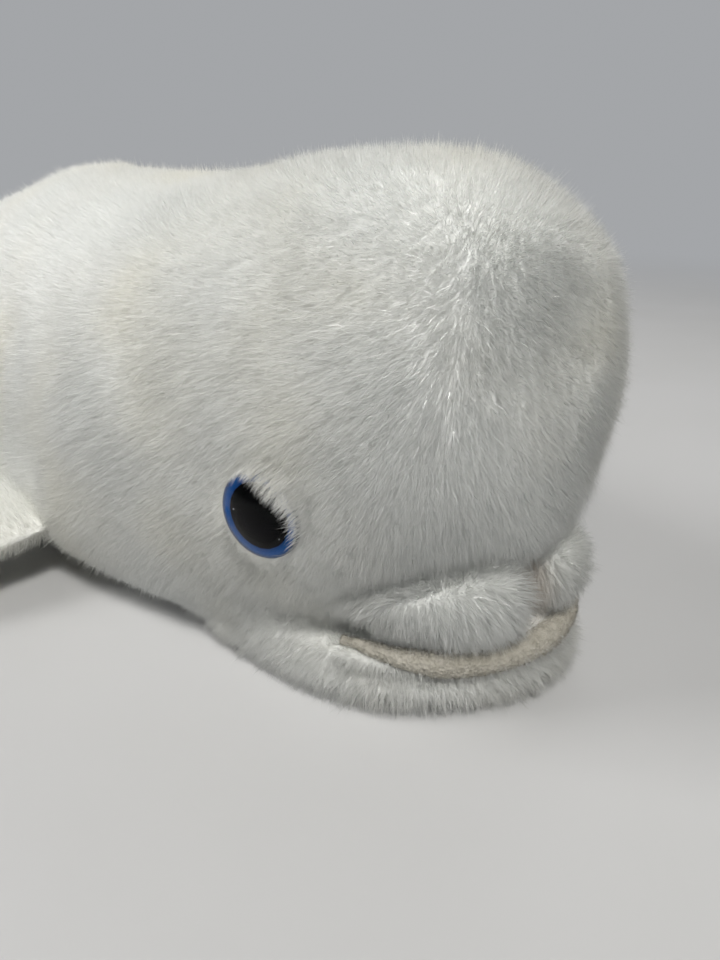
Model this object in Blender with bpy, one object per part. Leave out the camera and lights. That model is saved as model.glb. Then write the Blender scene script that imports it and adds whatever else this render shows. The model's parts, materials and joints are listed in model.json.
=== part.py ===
"""A soft toy whale: fur fabric panels sewn round stuffed cores, with flippers, a tail and flukes
that bend at their seams, moulded eyes locked on from the inside, and a soft closed mouth.

Lengths are in metres, +Z is up and the nose points along +X. The belly rests on the plane Z = 0.
"""

import math

import bmesh
import bpy
import numpy as np
from mathutils import Matrix, Vector

# Overall sizes, over the fabric and without its fur
HEAD_LENGTH = 0.104  # neck seam to the tip of the melon
TRUNK_LENGTH = 0.216  # tail seam to neck seam
TAIL_LENGTH = 0.062  # tail seam to fluke seam
FLUKE_CHORD = 0.048  # fluke seam to the rearmost edge
BODY_WIDTH = 0.118
CROWN_HEIGHT = 0.107
FLAT_DEPTH = 0.0005  # how far the belly is pressed flat

# Cloth, seams and clearances
SKIN = 0.002  # fur fabric: its backing and the matted foot of the pile
THIN_SKIN = 0.0015  # the same fabric, shorn for the flippers and flukes
GAP = 0.0003
OVERRUN = 0.020  # how far a cutter runs past what it cuts
BELLY_SEAM_HEIGHT = 0.018
CROWN_PANEL_WIDTH = 0.042

# Places along the whale
WHALE_LENGTH = HEAD_LENGTH + TRUNK_LENGTH + TAIL_LENGTH + FLUKE_CHORD
NOSE_X = WHALE_LENGTH / 2
NECK_X = NOSE_X - HEAD_LENGTH
TAIL_SEAM_X = NECK_X - TRUNK_LENGTH
FLUKE_SEAM_X = TAIL_SEAM_X - TAIL_LENGTH

# Tail
TAIL_SEAM_RADIUS = 0.032
TAIL_SEAM_HEIGHT = 0.039  # of the seam's centre
FLUKE_HEIGHT = 0.026  # of the flukes' middle plane
TAIL_BALL_RADIUS = TAIL_SEAM_RADIUS - SKIN - GAP
SOCKET_CLEARANCE = 0.0008
TAIL_SHARES = (
    # place from tail seam to fluke seam, half width and half height to the ball's radius,
    # how far the middle has sunk from the seam's height to the flukes'
    (0.00, 1.00, 1.00, 0.00),
    (0.20, 0.87, 0.84, 0.32),
    (0.45, 0.71, 0.63, 0.66),
    (0.75, 0.60, 0.43, 0.92),
    (1.00, 0.57, 0.31, 1.00),
)
TAIL_RINGS = 6
BALL_RINGS = 4

# Flukes
FLUKE_SPAN = 0.190
FLUKE_THICKNESS = 0.013
FLUKE_NOSE = 0.005  # hinge line behind the front edge
FLUKE_SHARES = (
    # place from the middle to a tip, front edge and rear edge along the chord, thickness
    (0.00, 0.000, -0.800, 1.00),
    (0.18, 0.000, -0.860, 1.00),
    (0.40, -0.110, -0.965, 0.90),
    (0.65, -0.330, -1.000, 0.72),
    (0.88, -0.630, -0.985, 0.42),
    (1.00, -0.860, -0.900, 0.00),
)
FLUKE_RINGS = 7

# Flippers
FLIPPER_SPAN = 0.090
FLIPPER_ROOT_CHORD = 0.044
FLIPPER_THICKNESS = 0.015
FLIPPER_NOSE = 0.004  # hinge line out from the seam
FLIPPER_ROOT_BACK = 0.052  # from the neck seam back to the root's rear end
FLIPPER_ROOT_HEIGHT = 0.0175
FLIPPER_DROOP = math.radians(6)
FLIPPER_SHARES = (
    # place from root to tip, front edge and rear edge along the root chord, thickness
    (0.00, 0.50, -0.50, 0.14),
    (0.05, 0.51, -0.51, 0.60),
    (0.15, 0.53, -0.53, 0.84),
    (0.40, 0.47, -0.66, 1.00),
    (0.65, 0.28, -0.79, 0.88),
    (0.85, -0.02, -0.88, 0.60),
    (0.96, -0.32, -0.90, 0.33),
    (1.00, -0.58, -0.70, 0.00),
)
FLIPPER_RINGS = 8
LEAF_SEGMENTS = 12
LEAF_EDGE = 0.0004  # half the thickness where a flipper or fluke form starts and ends

# Body stations: place, half width, crown, belly, height of the widest place between the two,
# and how round the belly half is, where 1 is an ellipse and less is a squarer bottom.
# Widths are shares of half the body's width and heights are shares of the crown's.
TRUNK_SHARES = (
    (0.17, 0.740, 0.790, 0.022, 0.47, 0.90),
    (0.36, 0.905, 0.893, 0.000, 0.44, 0.72),
    (0.55, 0.985, 0.958, 0.000, 0.42, 0.60),
    (0.74, 1.000, 0.982, 0.000, 0.41, 0.53),
    (0.88, 1.000, 0.968, 0.000, 0.40, 0.49),
    (1.00, 1.000, 0.953, 0.000, 0.40, 0.46),
)
HEAD_SHARES = (
    (0.18, 0.960, 0.957, 0.004, 0.42, 0.46),
    (0.36, 0.885, 0.985, 0.012, 0.45, 0.50),
    (0.55, 0.800, 1.000, 0.040, 0.48, 0.60),
    (0.73, 0.735, 0.985, 0.110, 0.49, 0.75),
    (0.87, 0.640, 0.925, 0.230, 0.50, 0.90),
    (0.96, 0.450, 0.830, 0.355, 0.50, 1.00),
    (1.00, 0.000, 0.600, 0.600, 0.50, 1.00),
)
TRUNK_RINGS = 9
HEAD_RINGS = 9
SEGMENTS = 24
CORE_SEGMENTS = 12  # a stuffed core keeps every second column of the panels round it

# Low ridge along the back
RIDGE_LENGTH = 0.120
RIDGE_WIDTH = 0.018
RIDGE_RISE = 0.0045
RIDGE_BACK = 0.062  # from the neck seam back to the ridge's front end
RIDGE_RINGS = 9
RIDGE_SEGMENTS = 12

# Mouth: jaw, lip lining and lip pads, all on ellipses round one centre below the melon
MOUTH_BACK = 0.050  # of that centre, from the nose tip
JAW_REACH = 0.050
JAW_HALF_WIDTH = 0.0410
JAW_RISE = 0.0145
JAW_SHARES = (
    # height, size of the ellipse
    (0.00, 0.86),
    (0.10, 0.94),
    (0.35, 1.00),
    (0.65, 0.99),
    (0.88, 0.92),
    (1.00, 0.80),
)
JAW_RINGS = 7
LINING_HEIGHT = 0.0138
LINING_REACH = 0.0465
LINING_HALF_WIDTH = 0.0375
LINING_RADIUS = 0.0028
LINING_SWEEP = math.radians(62)
LINING_RINGS = 17
LINING_TAPER_SHARE = 0.85  # how far round its cross-section's fall goes at the two ends
LIP_HEIGHT = 0.0225
LIP_REACH = 0.0395
LIP_HALF_WIDTH = 0.0335
LIP_DEPTH = 0.0100  # out from its path
LIP_RISE = 0.0085
LIP_START = math.radians(3)
LIP_END = math.radians(66)
LIP_SHARES = (
    # place from the philtrum to the mouth's corner, size
    (0.00, 0.25),
    (0.08, 0.72),
    (0.28, 1.00),
    (0.60, 0.86),
    (0.85, 0.52),
    (1.00, 0.22),
)
LIP_RINGS = 9
ROLL_SIDES = 8
PAD_SIDES = 12

# Eyes
EYE_DIAMETER = 0.018
EYE_RISE = 0.0058
EYE_RIM = 0.0012
EYE_PLACE_SHARE = 0.650  # from the neck seam to the nose tip
EYE_HEIGHT = 0.0425
EYE_SEAT_DEPTH = 0.0010
IRIS_INSET = 0.0007
IRIS_THICKNESS = 0.0005
PUPIL_DIAMETER = 0.0125
PUPIL_THICKNESS = 0.0009
STEM_DIAMETER = 0.0050
STEM_LENGTH = 0.0150
STEM_RIB = 0.0004
STEM_RIBS = 3
STEM_RIB_PITCH = 0.0024
WASHER_DIAMETER = 0.0140
WASHER_THICKNESS = 0.0012
WASHER_CONE = 0.0008
WASHER_DEPTH = 0.0033  # of its outer face, from the eye's seat
EYE_SIDES = 20
DOME_RINGS = 5
SOCKET_SEGMENTS = 32
SOCKET_RINGS = 16

# Colours
FUR_WHITE = (0.86, 0.86, 0.85)
LINING_CREAM = (0.74, 0.69, 0.60)
WADDING = (0.90, 0.90, 0.89)
IRIS_BLUE = (0.022, 0.115, 0.42)
STEM_BLACK = (0.004, 0.004, 0.005)
EYE_CLEAR = (0.80, 0.86, 0.92)
WASHER_GREY = (0.55, 0.55, 0.54)


def clear_scene():
    for obj in list(bpy.data.objects):
        bpy.data.objects.remove(obj)


def dress(obj, colour, roughness, alpha=1.0):
    """Gives the piece a material of its own."""
    material = bpy.data.materials.new(obj.name)
    material.use_nodes = True
    shader = material.node_tree.nodes["Principled BSDF"]
    shader.inputs["Base Color"].default_value = (*colour, 1.0)
    shader.inputs["Roughness"].default_value = roughness
    shader.inputs["Metallic"].default_value = 0.0
    shader.inputs["Alpha"].default_value = alpha
    material.diffuse_color = (*colour, alpha)
    obj.data.materials.clear()
    obj.data.materials.append(material)
    obj.data.shade_smooth()
    return obj


def fur(obj):
    return dress(obj, FUR_WHITE, 0.95)


def wadding(obj):
    return dress(obj, WADDING, 1.0)


# Forms made of rings


def smooth_table(rows, places):
    """The table's columns at these places, on smooth curves through its rows."""
    table = np.array(rows, float)
    at, values = table[:, 0], table[:, 1:]
    slopes = np.gradient(values, at, axis=0)
    low = np.clip(np.searchsorted(at, places, side="right") - 1, 0, len(at) - 2)
    step = (at[low + 1] - at[low])[:, None]
    t = (np.asarray(places)[:, None] - at[low][:, None]) / step
    return (
        values[low] * (1 + 2 * t) * (1 - t) ** 2
        + slopes[low] * step * t * (1 - t) ** 2
        + values[low + 1] * t**2 * (3 - 2 * t)
        + slopes[low + 1] * step * t**2 * (t - 1)
    )


def outward(rings):
    """The unit normal at each point of a stack of rings, pointing out of it."""
    along = np.gradient(rings, axis=0)
    around = np.roll(rings, -1, axis=1) - np.roll(rings, 1, axis=1)
    normals = np.cross(around, along)
    normals /= np.linalg.norm(normals, axis=2, keepdims=True)
    middle = rings.mean(axis=1, keepdims=True)
    flip = np.sum(normals * (rings - middle)) < 0
    return -normals if flip else normals


def ring_form(name, rings, first_tip=None, last_tip=None):
    """A closed mesh through the rings. Each end closes on its tip, or on the middle of its ring."""
    mesh = bpy.data.meshes.new(name)
    bm = bmesh.new()
    rows = [[bm.verts.new(point) for point in ring] for ring in rings]
    count = len(rows[0])
    for row, after in zip(rows, rows[1:]):
        for i in range(count):
            j = (i + 1) % count
            bm.faces.new((row[i], row[j], after[j]))
            bm.faces.new((row[i], after[j], after[i]))
    for row, tip in ((rows[0], first_tip), (rows[-1], last_tip)):
        middle = np.mean([vert.co for vert in row], axis=0)
        point = bm.verts.new(middle if tip is None else tip)
        for i in range(count):
            bm.faces.new((row[i], row[(i + 1) % count], point))
    bmesh.ops.recalc_face_normals(bm, faces=bm.faces)
    bm.to_mesh(mesh)
    bm.free()
    obj = bpy.data.objects.new(name, mesh)
    bpy.context.collection.objects.link(obj)
    return obj


def block(name, low, high):
    """A box between two corners."""
    mesh = bpy.data.meshes.new(name)
    bm = bmesh.new()
    bmesh.ops.create_cube(bm, size=1.0)
    low, high = Vector(low), Vector(high)
    for vert in bm.verts:
        vert.co = low + Vector((vert.co[k] + 0.5) * (high[k] - low[k]) for k in range(3))
    bm.to_mesh(mesh)
    bm.free()
    obj = bpy.data.objects.new(name, mesh)
    bpy.context.collection.objects.link(obj)
    return obj


def ball(name, centre, radius):
    mesh = bpy.data.meshes.new(name)
    bm = bmesh.new()
    bmesh.ops.create_uvsphere(
        bm, u_segments=SOCKET_SEGMENTS, v_segments=SOCKET_RINGS, radius=radius
    )
    bmesh.ops.translate(bm, vec=centre, verts=bm.verts)
    bm.to_mesh(mesh)
    bm.free()
    obj = bpy.data.objects.new(name, mesh)
    bpy.context.collection.objects.link(obj)
    return obj


def guide(obj):
    """Marks a cutter, which is no piece of the toy."""
    obj.hide_render = True
    obj.display_type = "WIRE"
    return obj


def cut(obj, *cutters):
    for cutter in cutters:
        step = obj.modifiers.new("cut " + cutter.name, "BOOLEAN")
        step.operation = "DIFFERENCE"
        step.solver = "EXACT"
        step.object = cutter
    return obj


def keep(obj, region):
    step = obj.modifiers.new("keep " + region.name, "BOOLEAN")
    step.operation = "INTERSECT"
    step.solver = "EXACT"
    step.object = region
    return obj


def copy_of(form, name):
    obj = bpy.data.objects.new(name, form.data.copy())
    bpy.context.collection.objects.link(obj)
    return obj


# Body surface


def station_rows():
    """Body stations as sizes: run along the body, half width, crown, belly, and the two shares.

    The run is the distance along +X on the trunk, and on the head an arc's length, so that the
    melon closes round at the nose.
    """
    seam = TAIL_SEAM_HEIGHT + FLAT_DEPTH
    radius = TAIL_SEAM_RADIUS
    rows = [(0.0, radius, seam + radius, seam - radius, 0.5, 1.0)]
    runs = [place * TRUNK_LENGTH for place, *_ in TRUNK_SHARES]
    runs += [TRUNK_LENGTH + HEAD_LENGTH * math.asin(place) for place, *_ in HEAD_SHARES]
    for run, row in zip(runs, TRUNK_SHARES + HEAD_SHARES):
        _, width, crown, belly, *shares = row
        sizes = width * BODY_WIDTH / 2, crown * CROWN_HEIGHT, belly * CROWN_HEIGHT
        rows.append((run, *sizes, *shares))
    return rows


def x_of_run(run):
    head = np.clip((run - TRUNK_LENGTH) / HEAD_LENGTH, 0.0, math.pi / 2)
    return TAIL_SEAM_X + np.minimum(run, TRUNK_LENGTH) + HEAD_LENGTH * np.sin(head)


def body_rings(runs, segments):
    """Rings of the body's outer surface. The first point of each is on the crown."""
    width, crown, belly, widest, round_share = smooth_table(station_rows(), runs).T[:, :, None]
    angle = np.arange(segments) * 2 * math.pi / segments
    middle = belly + widest * (crown - belly)
    up, across = np.cos(angle), -np.sin(angle)
    power = np.where(up > 0, 1.0, round_share)
    rise = np.sign(up) * np.abs(up) ** power
    z = middle + np.where(up > 0, crown - middle, middle - belly) * rise - FLAT_DEPTH
    y = width * np.sign(across) * np.abs(across) ** power
    x = np.broadcast_to(x_of_run(runs)[:, None], y.shape)
    return np.stack([x, y, z], axis=2)


def nose_tip():
    crown = HEAD_SHARES[-1][2] * CROWN_HEIGHT
    return np.array((NOSE_X, 0.0, crown - FLAT_DEPTH))


def body_form(name, inset, segments=SEGMENTS):
    """The body's surface moved in by inset, closed at the nose and cut square at the tail."""
    trunk = np.linspace(0.0, TRUNK_LENGTH, TRUNK_RINGS)
    head = TRUNK_LENGTH + np.linspace(0.0, HEAD_LENGTH * math.pi / 2, HEAD_RINGS + 1)[1:-1]
    rings = body_rings(np.concatenate([trunk, head]), SEGMENTS)
    tip = nose_tip()
    if inset:
        rings = rings - inset * outward(rings)
        tip = tip - (inset, 0.0, 0.0)
        beyond = rings[:1] - (OVERRUN, 0.0, 0.0)
        rings = np.concatenate([beyond, rings])
    return ring_form(name, rings[:, :: SEGMENTS // segments], last_tip=tip)


def surface_at(x, z, side):
    """Where the body's surface stands at this x and height on one side, and its outward normal."""
    reach = min((x - NECK_X) / HEAD_LENGTH, 1.0)
    run = x - TAIL_SEAM_X if reach < 0 else TRUNK_LENGTH + HEAD_LENGTH * math.asin(reach)
    nudge = GAP

    def point(run, z):
        row = smooth_table(station_rows(), np.array([run]))[0]
        width, crown, belly, widest, round_share = row
        middle = belly + widest * (crown - belly)
        rise = z + FLAT_DEPTH - middle
        half = crown - middle if rise > 0 else middle - belly
        power = 2.0 if rise > 0 else 2 / round_share
        y = side * width * max(1 - abs(rise / half) ** power, 0.0) ** (1 / power)
        return Vector((float(x_of_run(np.array([run]))[0]), y, z))

    here = point(run, z)
    along = point(run + nudge, z) - point(run - nudge, z)
    upward = point(run, z + nudge) - point(run, z - nudge)
    normal = along.cross(upward).normalized()
    return here, normal if normal.y * side > 0 else -normal


# Body and head


def body_regions():
    """Boxes that part the body's skin along its seams."""
    reach = BODY_WIDTH + OVERRUN
    top = CROWN_HEIGHT + OVERRUN
    tail, neck, nose = TAIL_SEAM_X - 2 * OVERRUN, NECK_X, NOSE_X + OVERRUN
    crown = CROWN_PANEL_WIDTH / 2
    seam = GAP / 2
    low, high = BELLY_SEAM_HEIGHT - seam, BELLY_SEAM_HEIGHT + seam
    boxes = {
        "trunk_side_right": ((tail, -reach, high), (neck - seam, -seam, top)),
        "trunk_side_left": ((tail, seam, high), (neck - seam, reach, top)),
        "belly_panel": ((tail, -reach, 0.0), (neck - seam, reach, low)),
        "crown_panel": ((neck + seam, seam - crown, high), (nose, crown - seam, top)),
        "cheek_panel_right": ((neck + seam, -reach, high), (nose, -crown - seam, top)),
        "cheek_panel_left": ((neck + seam, crown + seam, high), (nose, reach, top)),
        "throat_panel": ((neck + seam, -reach, 0.0), (nose, reach, low)),
    }
    return {name: guide(block(name + "_region", *box)) for name, box in boxes.items()}


def make_body(outer, inner, socket, seats, pockets):
    regions = body_regions()
    for name, region in regions.items():
        panel = cut(keep(copy_of(outer, name), region), inner)
        if name.startswith("cheek"):
            side = name.rsplit("_", 1)[1]
            cut(panel, seats[side])
        fur(panel)
    core = guide(body_form("core", SKIN + GAP, CORE_SEGMENTS))
    reach = BODY_WIDTH
    seam = GAP / 2
    trunk_box = guide(
        block(
            "trunk_core_region",
            (TAIL_SEAM_X + SKIN, -reach, 0.0),
            (NECK_X - seam, reach, 2 * CROWN_HEIGHT),
        )
    )
    head_box = guide(
        block(
            "head_core_region",
            (NECK_X + seam, -reach, 0.0),
            (NOSE_X, reach, 2 * CROWN_HEIGHT),
        )
    )
    wadding(cut(keep(copy_of(core, "trunk_filling"), trunk_box), socket))
    head = keep(copy_of(core, "head_filling"), head_box)
    wadding(cut(head, pockets["right"], pockets["left"]))


def make_ridge(body_grown):
    """The low padded ridge along the back seam."""
    front = NECK_X - RIDGE_BACK
    share = np.linspace(0.0, 1.0, RIDGE_RINGS + 2)[1:-1]
    x = front - RIDGE_LENGTH * share
    swell = np.sqrt(np.sin(math.pi * share))
    crown = smooth_table(station_rows(), x - TAIL_SEAM_X)[:, 1] - FLAT_DEPTH
    angle = np.arange(RIDGE_SEGMENTS) * 2 * math.pi / RIDGE_SEGMENTS
    rings = np.stack(
        [
            np.broadcast_to(x[:, None], (RIDGE_RINGS, RIDGE_SEGMENTS)),
            RIDGE_WIDTH / 2 * swell[:, None] * np.sin(angle),
            crown[:, None] + RIDGE_RISE * swell[:, None] * np.cos(angle),
        ],
        axis=2,
    )
    ends = smooth_table(station_rows(), np.array((front, front - RIDGE_LENGTH)) - TAIL_SEAM_X)
    first = (front, 0.0, ends[0, 1] - FLAT_DEPTH)
    last = (front - RIDGE_LENGTH, 0.0, ends[1, 1] - FLAT_DEPTH)
    fur(cut(ring_form("dorsal_ridge", rings, first, last), body_grown))


# Mouth


def round_the_mouth(angle, reach, half_width, height):
    """Points on an ellipse round the mouth's centre, and the level way out at each."""
    level = np.stack([np.cos(angle), np.sin(angle), 0 * angle], axis=1)
    centre = np.array((NOSE_X - MOUTH_BACK, 0.0, height))
    path = centre + level * (reach, half_width, 0.0)
    out = level / (reach, half_width, 1.0)
    return path, out / np.linalg.norm(out, axis=1, keepdims=True)


def roll_rings(path, out, depths, rises, sides):
    """Elliptical rings along a level path. Each stands square to it."""
    angle = np.arange(sides) * 2 * math.pi / sides
    up = np.array((0.0, 0.0, 1.0))
    deep = depths[:, None] * out
    high = rises[:, None] * up
    return (
        path[:, None]
        + np.cos(angle)[None, :, None] * deep[:, None]
        + np.sin(angle)[None, :, None] * high[:, None]
    )


def jaw_form(name, grow):
    """A soft slab with an elliptical plan. Grown, it also runs on below the floor."""
    share = np.linspace(0.0, 1.0, JAW_RINGS)
    size = smooth_table(JAW_SHARES, share)[:, 0]
    angle = np.arange(SEGMENTS) * 2 * math.pi / SEGMENTS
    rings = [
        round_the_mouth(
            angle,
            JAW_REACH * scale + grow,
            JAW_HALF_WIDTH * scale + grow,
            JAW_RISE * height + (grow if height > 0 else -grow),
        )[0]
        for height, scale in zip(share, size)
    ]
    return ring_form(name, np.array(rings))


def lip_form(name, side, grow):
    share = (1 - np.cos(np.linspace(0.0, math.pi, LIP_RINGS))) / 2
    size = smooth_table(LIP_SHARES, share)[:, 0]
    angle = side * (LIP_START + share * (LIP_END - LIP_START))
    path, out = round_the_mouth(angle, LIP_REACH, LIP_HALF_WIDTH, LIP_HEIGHT)
    return ring_form(
        name, roll_rings(path, out, LIP_DEPTH * size + grow, LIP_RISE * size + grow, PAD_SIDES)
    )


def make_mouth(body_grown):
    fur(cut(jaw_form("lower_jaw", 0.0), body_grown))
    jaw_grown = guide(jaw_form("jaw_grown", GAP))
    lips_grown = []
    for side, name in ((-1, "right"), (1, "left")):
        fur(cut(lip_form("upper_lip_" + name, side, 0.0), body_grown, jaw_grown))
        lips_grown.append(guide(lip_form(name + "_lip_grown", side, GAP)))
    share = np.linspace(-1.0, 1.0, LINING_RINGS)
    angle = share * LINING_SWEEP
    radius = LINING_RADIUS * np.sqrt(1 - (LINING_TAPER_SHARE * share) ** 4)
    path, out = round_the_mouth(angle, LINING_REACH, LINING_HALF_WIDTH, LINING_HEIGHT)
    lining = ring_form("mouth_lining", roll_rings(path, out, radius, radius, ROLL_SIDES))
    dress(cut(lining, body_grown, jaw_grown, *lips_grown), LINING_CREAM, 0.9)


# Eyes


def turned(name, profile, sides=EYE_SIDES):
    """A solid turned about Z from (radius, height) points. A profile off the axis makes a ring."""
    angle = np.arange(sides) * 2 * math.pi / sides
    circle = np.stack([np.cos(angle), np.sin(angle), 0 * angle], axis=1)
    up = np.array((0.0, 0.0, 1.0))
    if profile[0][0] > 0:
        mesh = bpy.data.meshes.new(name)
        bm = bmesh.new()
        rows = [
            [bm.verts.new(radius * spoke + height * up) for spoke in circle]
            for radius, height in profile
        ]
        for row, after in zip(rows, rows[1:] + rows[:1]):
            for i in range(sides):
                j = (i + 1) % sides
                bm.faces.new((row[i], row[j], after[j], after[i]))
        bmesh.ops.recalc_face_normals(bm, faces=bm.faces)
        bm.to_mesh(mesh)
        bm.free()
        obj = bpy.data.objects.new(name, mesh)
        bpy.context.collection.objects.link(obj)
        return obj
    rings = [radius * circle + height * up for radius, height in profile[1:-1]]
    first, last = profile[0][1] * up, profile[-1][1] * up
    return ring_form(name, rings, first, last)


def dome_profile():
    """The clear dome: a rim, a crown, and a pocket behind for the iris and the pupil."""
    radius = EYE_DIAMETER / 2
    pocket = radius - IRIS_INSET
    pupil = PUPIL_DIAMETER / 2 + GAP
    iris_roof = GAP + IRIS_THICKNESS + GAP
    pupil_roof = PUPIL_THICKNESS + 2 * GAP
    lean = np.linspace(0.0, math.pi / 2, DOME_RINGS + 1)
    crown = [
        (radius * math.cos(a), EYE_RIM + (EYE_RISE - EYE_RIM) * math.sin(a)) for a in lean[:-1]
    ]
    back = [(pupil, pupil_roof), (pupil, iris_roof), (pocket, iris_roof), (pocket, 0.0)]
    return [(0.0, pupil_roof), *back, (radius, 0.0), *crown, (0.0, EYE_RISE)]


def iris_profile():
    inner = PUPIL_DIAMETER / 2 + GAP
    outer = EYE_DIAMETER / 2 - IRIS_INSET - GAP
    return [(inner, GAP), (outer, GAP), (outer, GAP + IRIS_THICKNESS), (inner, GAP + IRIS_THICKNESS)]


def stem_profile():
    """A black stem: the pupil's disc in front, then a shank with ribs that the washer grips."""
    shank = STEM_DIAMETER / 2
    top = GAP + PUPIL_THICKNESS
    points = [(0.0, top), (PUPIL_DIAMETER / 2, top), (PUPIL_DIAMETER / 2, GAP), (shank, GAP)]
    start = -STEM_LENGTH + (STEM_RIBS + 1) * STEM_RIB_PITCH
    for rib in range(STEM_RIBS):
        height = start - rib * STEM_RIB_PITCH
        points.append((shank, height))
        points.append((shank + STEM_RIB, height - STEM_RIB_PITCH / 4))
        points.append((shank, height - STEM_RIB_PITCH / 2))
    points.append((shank, STEM_RIB - STEM_LENGTH))
    points.append((shank - STEM_RIB, -STEM_LENGTH))
    points.append((0.0, -STEM_LENGTH))
    return points


def washer_profile():
    inner = STEM_DIAMETER / 2 + STEM_RIB + GAP
    outer = WASHER_DIAMETER / 2
    top = -WASHER_DEPTH
    return [
        (outer, top),
        (inner, top - WASHER_CONE),
        (inner, top - WASHER_CONE - WASHER_THICKNESS),
        (outer, top - WASHER_THICKNESS),
    ]


def seat_profile():
    """What the eye takes out of the skin: a shallow seat, and a hole for the shank."""
    seat = EYE_DIAMETER / 2 + GAP
    hole = STEM_DIAMETER / 2 + STEM_RIB + GAP
    shoulder = [(seat, OVERRUN), (seat, -GAP), (hole, -GAP), (hole, -OVERRUN)]
    return [(0.0, OVERRUN), *shoulder, (0.0, -OVERRUN)]


def pocket_profile():
    """What the washer and the shank push out of the stuffing."""
    bay = WASHER_DIAMETER / 2 + GAP
    well = STEM_DIAMETER / 2 + STEM_RIB + GAP
    floor = -WASHER_DEPTH - WASHER_CONE - WASHER_THICKNESS - GAP
    end = -STEM_LENGTH - GAP
    shoulder = [(bay, OVERRUN), (bay, floor), (well, floor), (well, end)]
    return [(0.0, OVERRUN), *shoulder, (0.0, end)]


def eye_place(side):
    x = NECK_X + EYE_PLACE_SHARE * HEAD_LENGTH
    point, normal = surface_at(x, EYE_HEIGHT, side)
    turn = normal.to_track_quat("Z", "Y").to_matrix().to_4x4()
    return Matrix.Translation(point - normal * EYE_SEAT_DEPTH) @ turn


def make_eyes():
    """Both eyes, and the cutters for their seats in the skin and their pockets in the stuffing."""
    seats, pockets = {}, {}
    for side, name in ((-1, "right"), (1, "left")):
        place = eye_place(side)
        dome = turned("eye_dome_" + name, dome_profile())
        iris = turned("iris_" + name, iris_profile())
        stem = turned("eye_stem_" + name, stem_profile())
        washer = turned("eye_washer_" + name, washer_profile())
        dress(dome, EYE_CLEAR, 0.05, 0.35)
        dress(iris, IRIS_BLUE, 0.35)
        dress(stem, STEM_BLACK, 0.2)
        dress(washer, WASHER_GREY, 0.5)
        seat = guide(turned("eye_seat_" + name, seat_profile()))
        pocket = guide(turned("eye_pocket_" + name, pocket_profile()))
        for obj in (dome, iris, stem, washer, seat, pocket):
            obj.matrix_world = place
        seats[name] = seat
        pockets[name] = pocket
    return seats, pockets


# Tail


def hinge(name, place):
    """An empty on a joint's axis, which carries the pieces that turn about it."""
    empty = bpy.data.objects.new(name, None)
    empty.empty_display_size = OVERRUN
    empty.matrix_world = place
    bpy.context.collection.objects.link(empty)
    return empty


def hang(obj, empty):
    obj.parent = empty
    obj.matrix_parent_inverse = empty.matrix_world.inverted()
    return obj


def tail_rings(places, inset):
    """Rings of the tail stock from its seam back."""
    width, height, sunk = smooth_table(TAIL_SHARES, places).T[:, :, None]
    angle = np.arange(SEGMENTS) * 2 * math.pi / SEGMENTS
    y = -(TAIL_BALL_RADIUS * width - inset) * np.sin(angle)
    middle = TAIL_SEAM_HEIGHT + sunk * (FLUKE_HEIGHT - TAIL_SEAM_HEIGHT)
    z = middle + (TAIL_BALL_RADIUS * height - inset) * np.cos(angle)
    x = np.broadcast_to(TAIL_SEAM_X - np.asarray(places)[:, None] * TAIL_LENGTH, y.shape)
    return np.stack([x, y, z], axis=2)


def make_tail(tail_hinge):
    """The tail stock: a skin open at both ends over a core whose round head fills the trunk."""
    places = np.linspace(0.0, 1.0, TAIL_RINGS)
    behind = GAP / TAIL_LENGTH
    seam_places = np.concatenate([[behind], places[1:-1], [1 - behind / 2]])
    skin = ring_form("tail_skin", tail_rings(seam_places, 0.0))
    inner = tail_rings(places, SKIN)
    reach = np.array((OVERRUN, 0.0, 0.0))
    inner = np.concatenate([inner[:1] + reach, inner, inner[-1:] - reach])
    bore = guide(ring_form("tail_bore", inner))
    fur(hang(cut(skin, bore), tail_hinge))

    lean = np.linspace(0.0, math.pi / 2, BALL_RINGS + 1)[1:]
    rim = tail_rings(np.array([0.0]), 0.0)[0] - (TAIL_SEAM_X, 0.0, TAIL_SEAM_HEIGHT)
    centre = np.array((TAIL_SEAM_X, 0.0, TAIL_SEAM_HEIGHT))
    forward = np.array((TAIL_BALL_RADIUS, 0.0, 0.0))
    head = np.array([centre + math.sin(a) * rim + math.cos(a) * forward for a in lean])
    core = tail_rings(np.concatenate([[0.0], places[1:-1], [1 - 2 * behind]]), SKIN + GAP)
    rings = np.concatenate([head, core])[:, :: SEGMENTS // CORE_SEGMENTS]
    wadding(hang(ring_form("tail_filling", rings, first_tip=centre + forward), tail_hinge))


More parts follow.
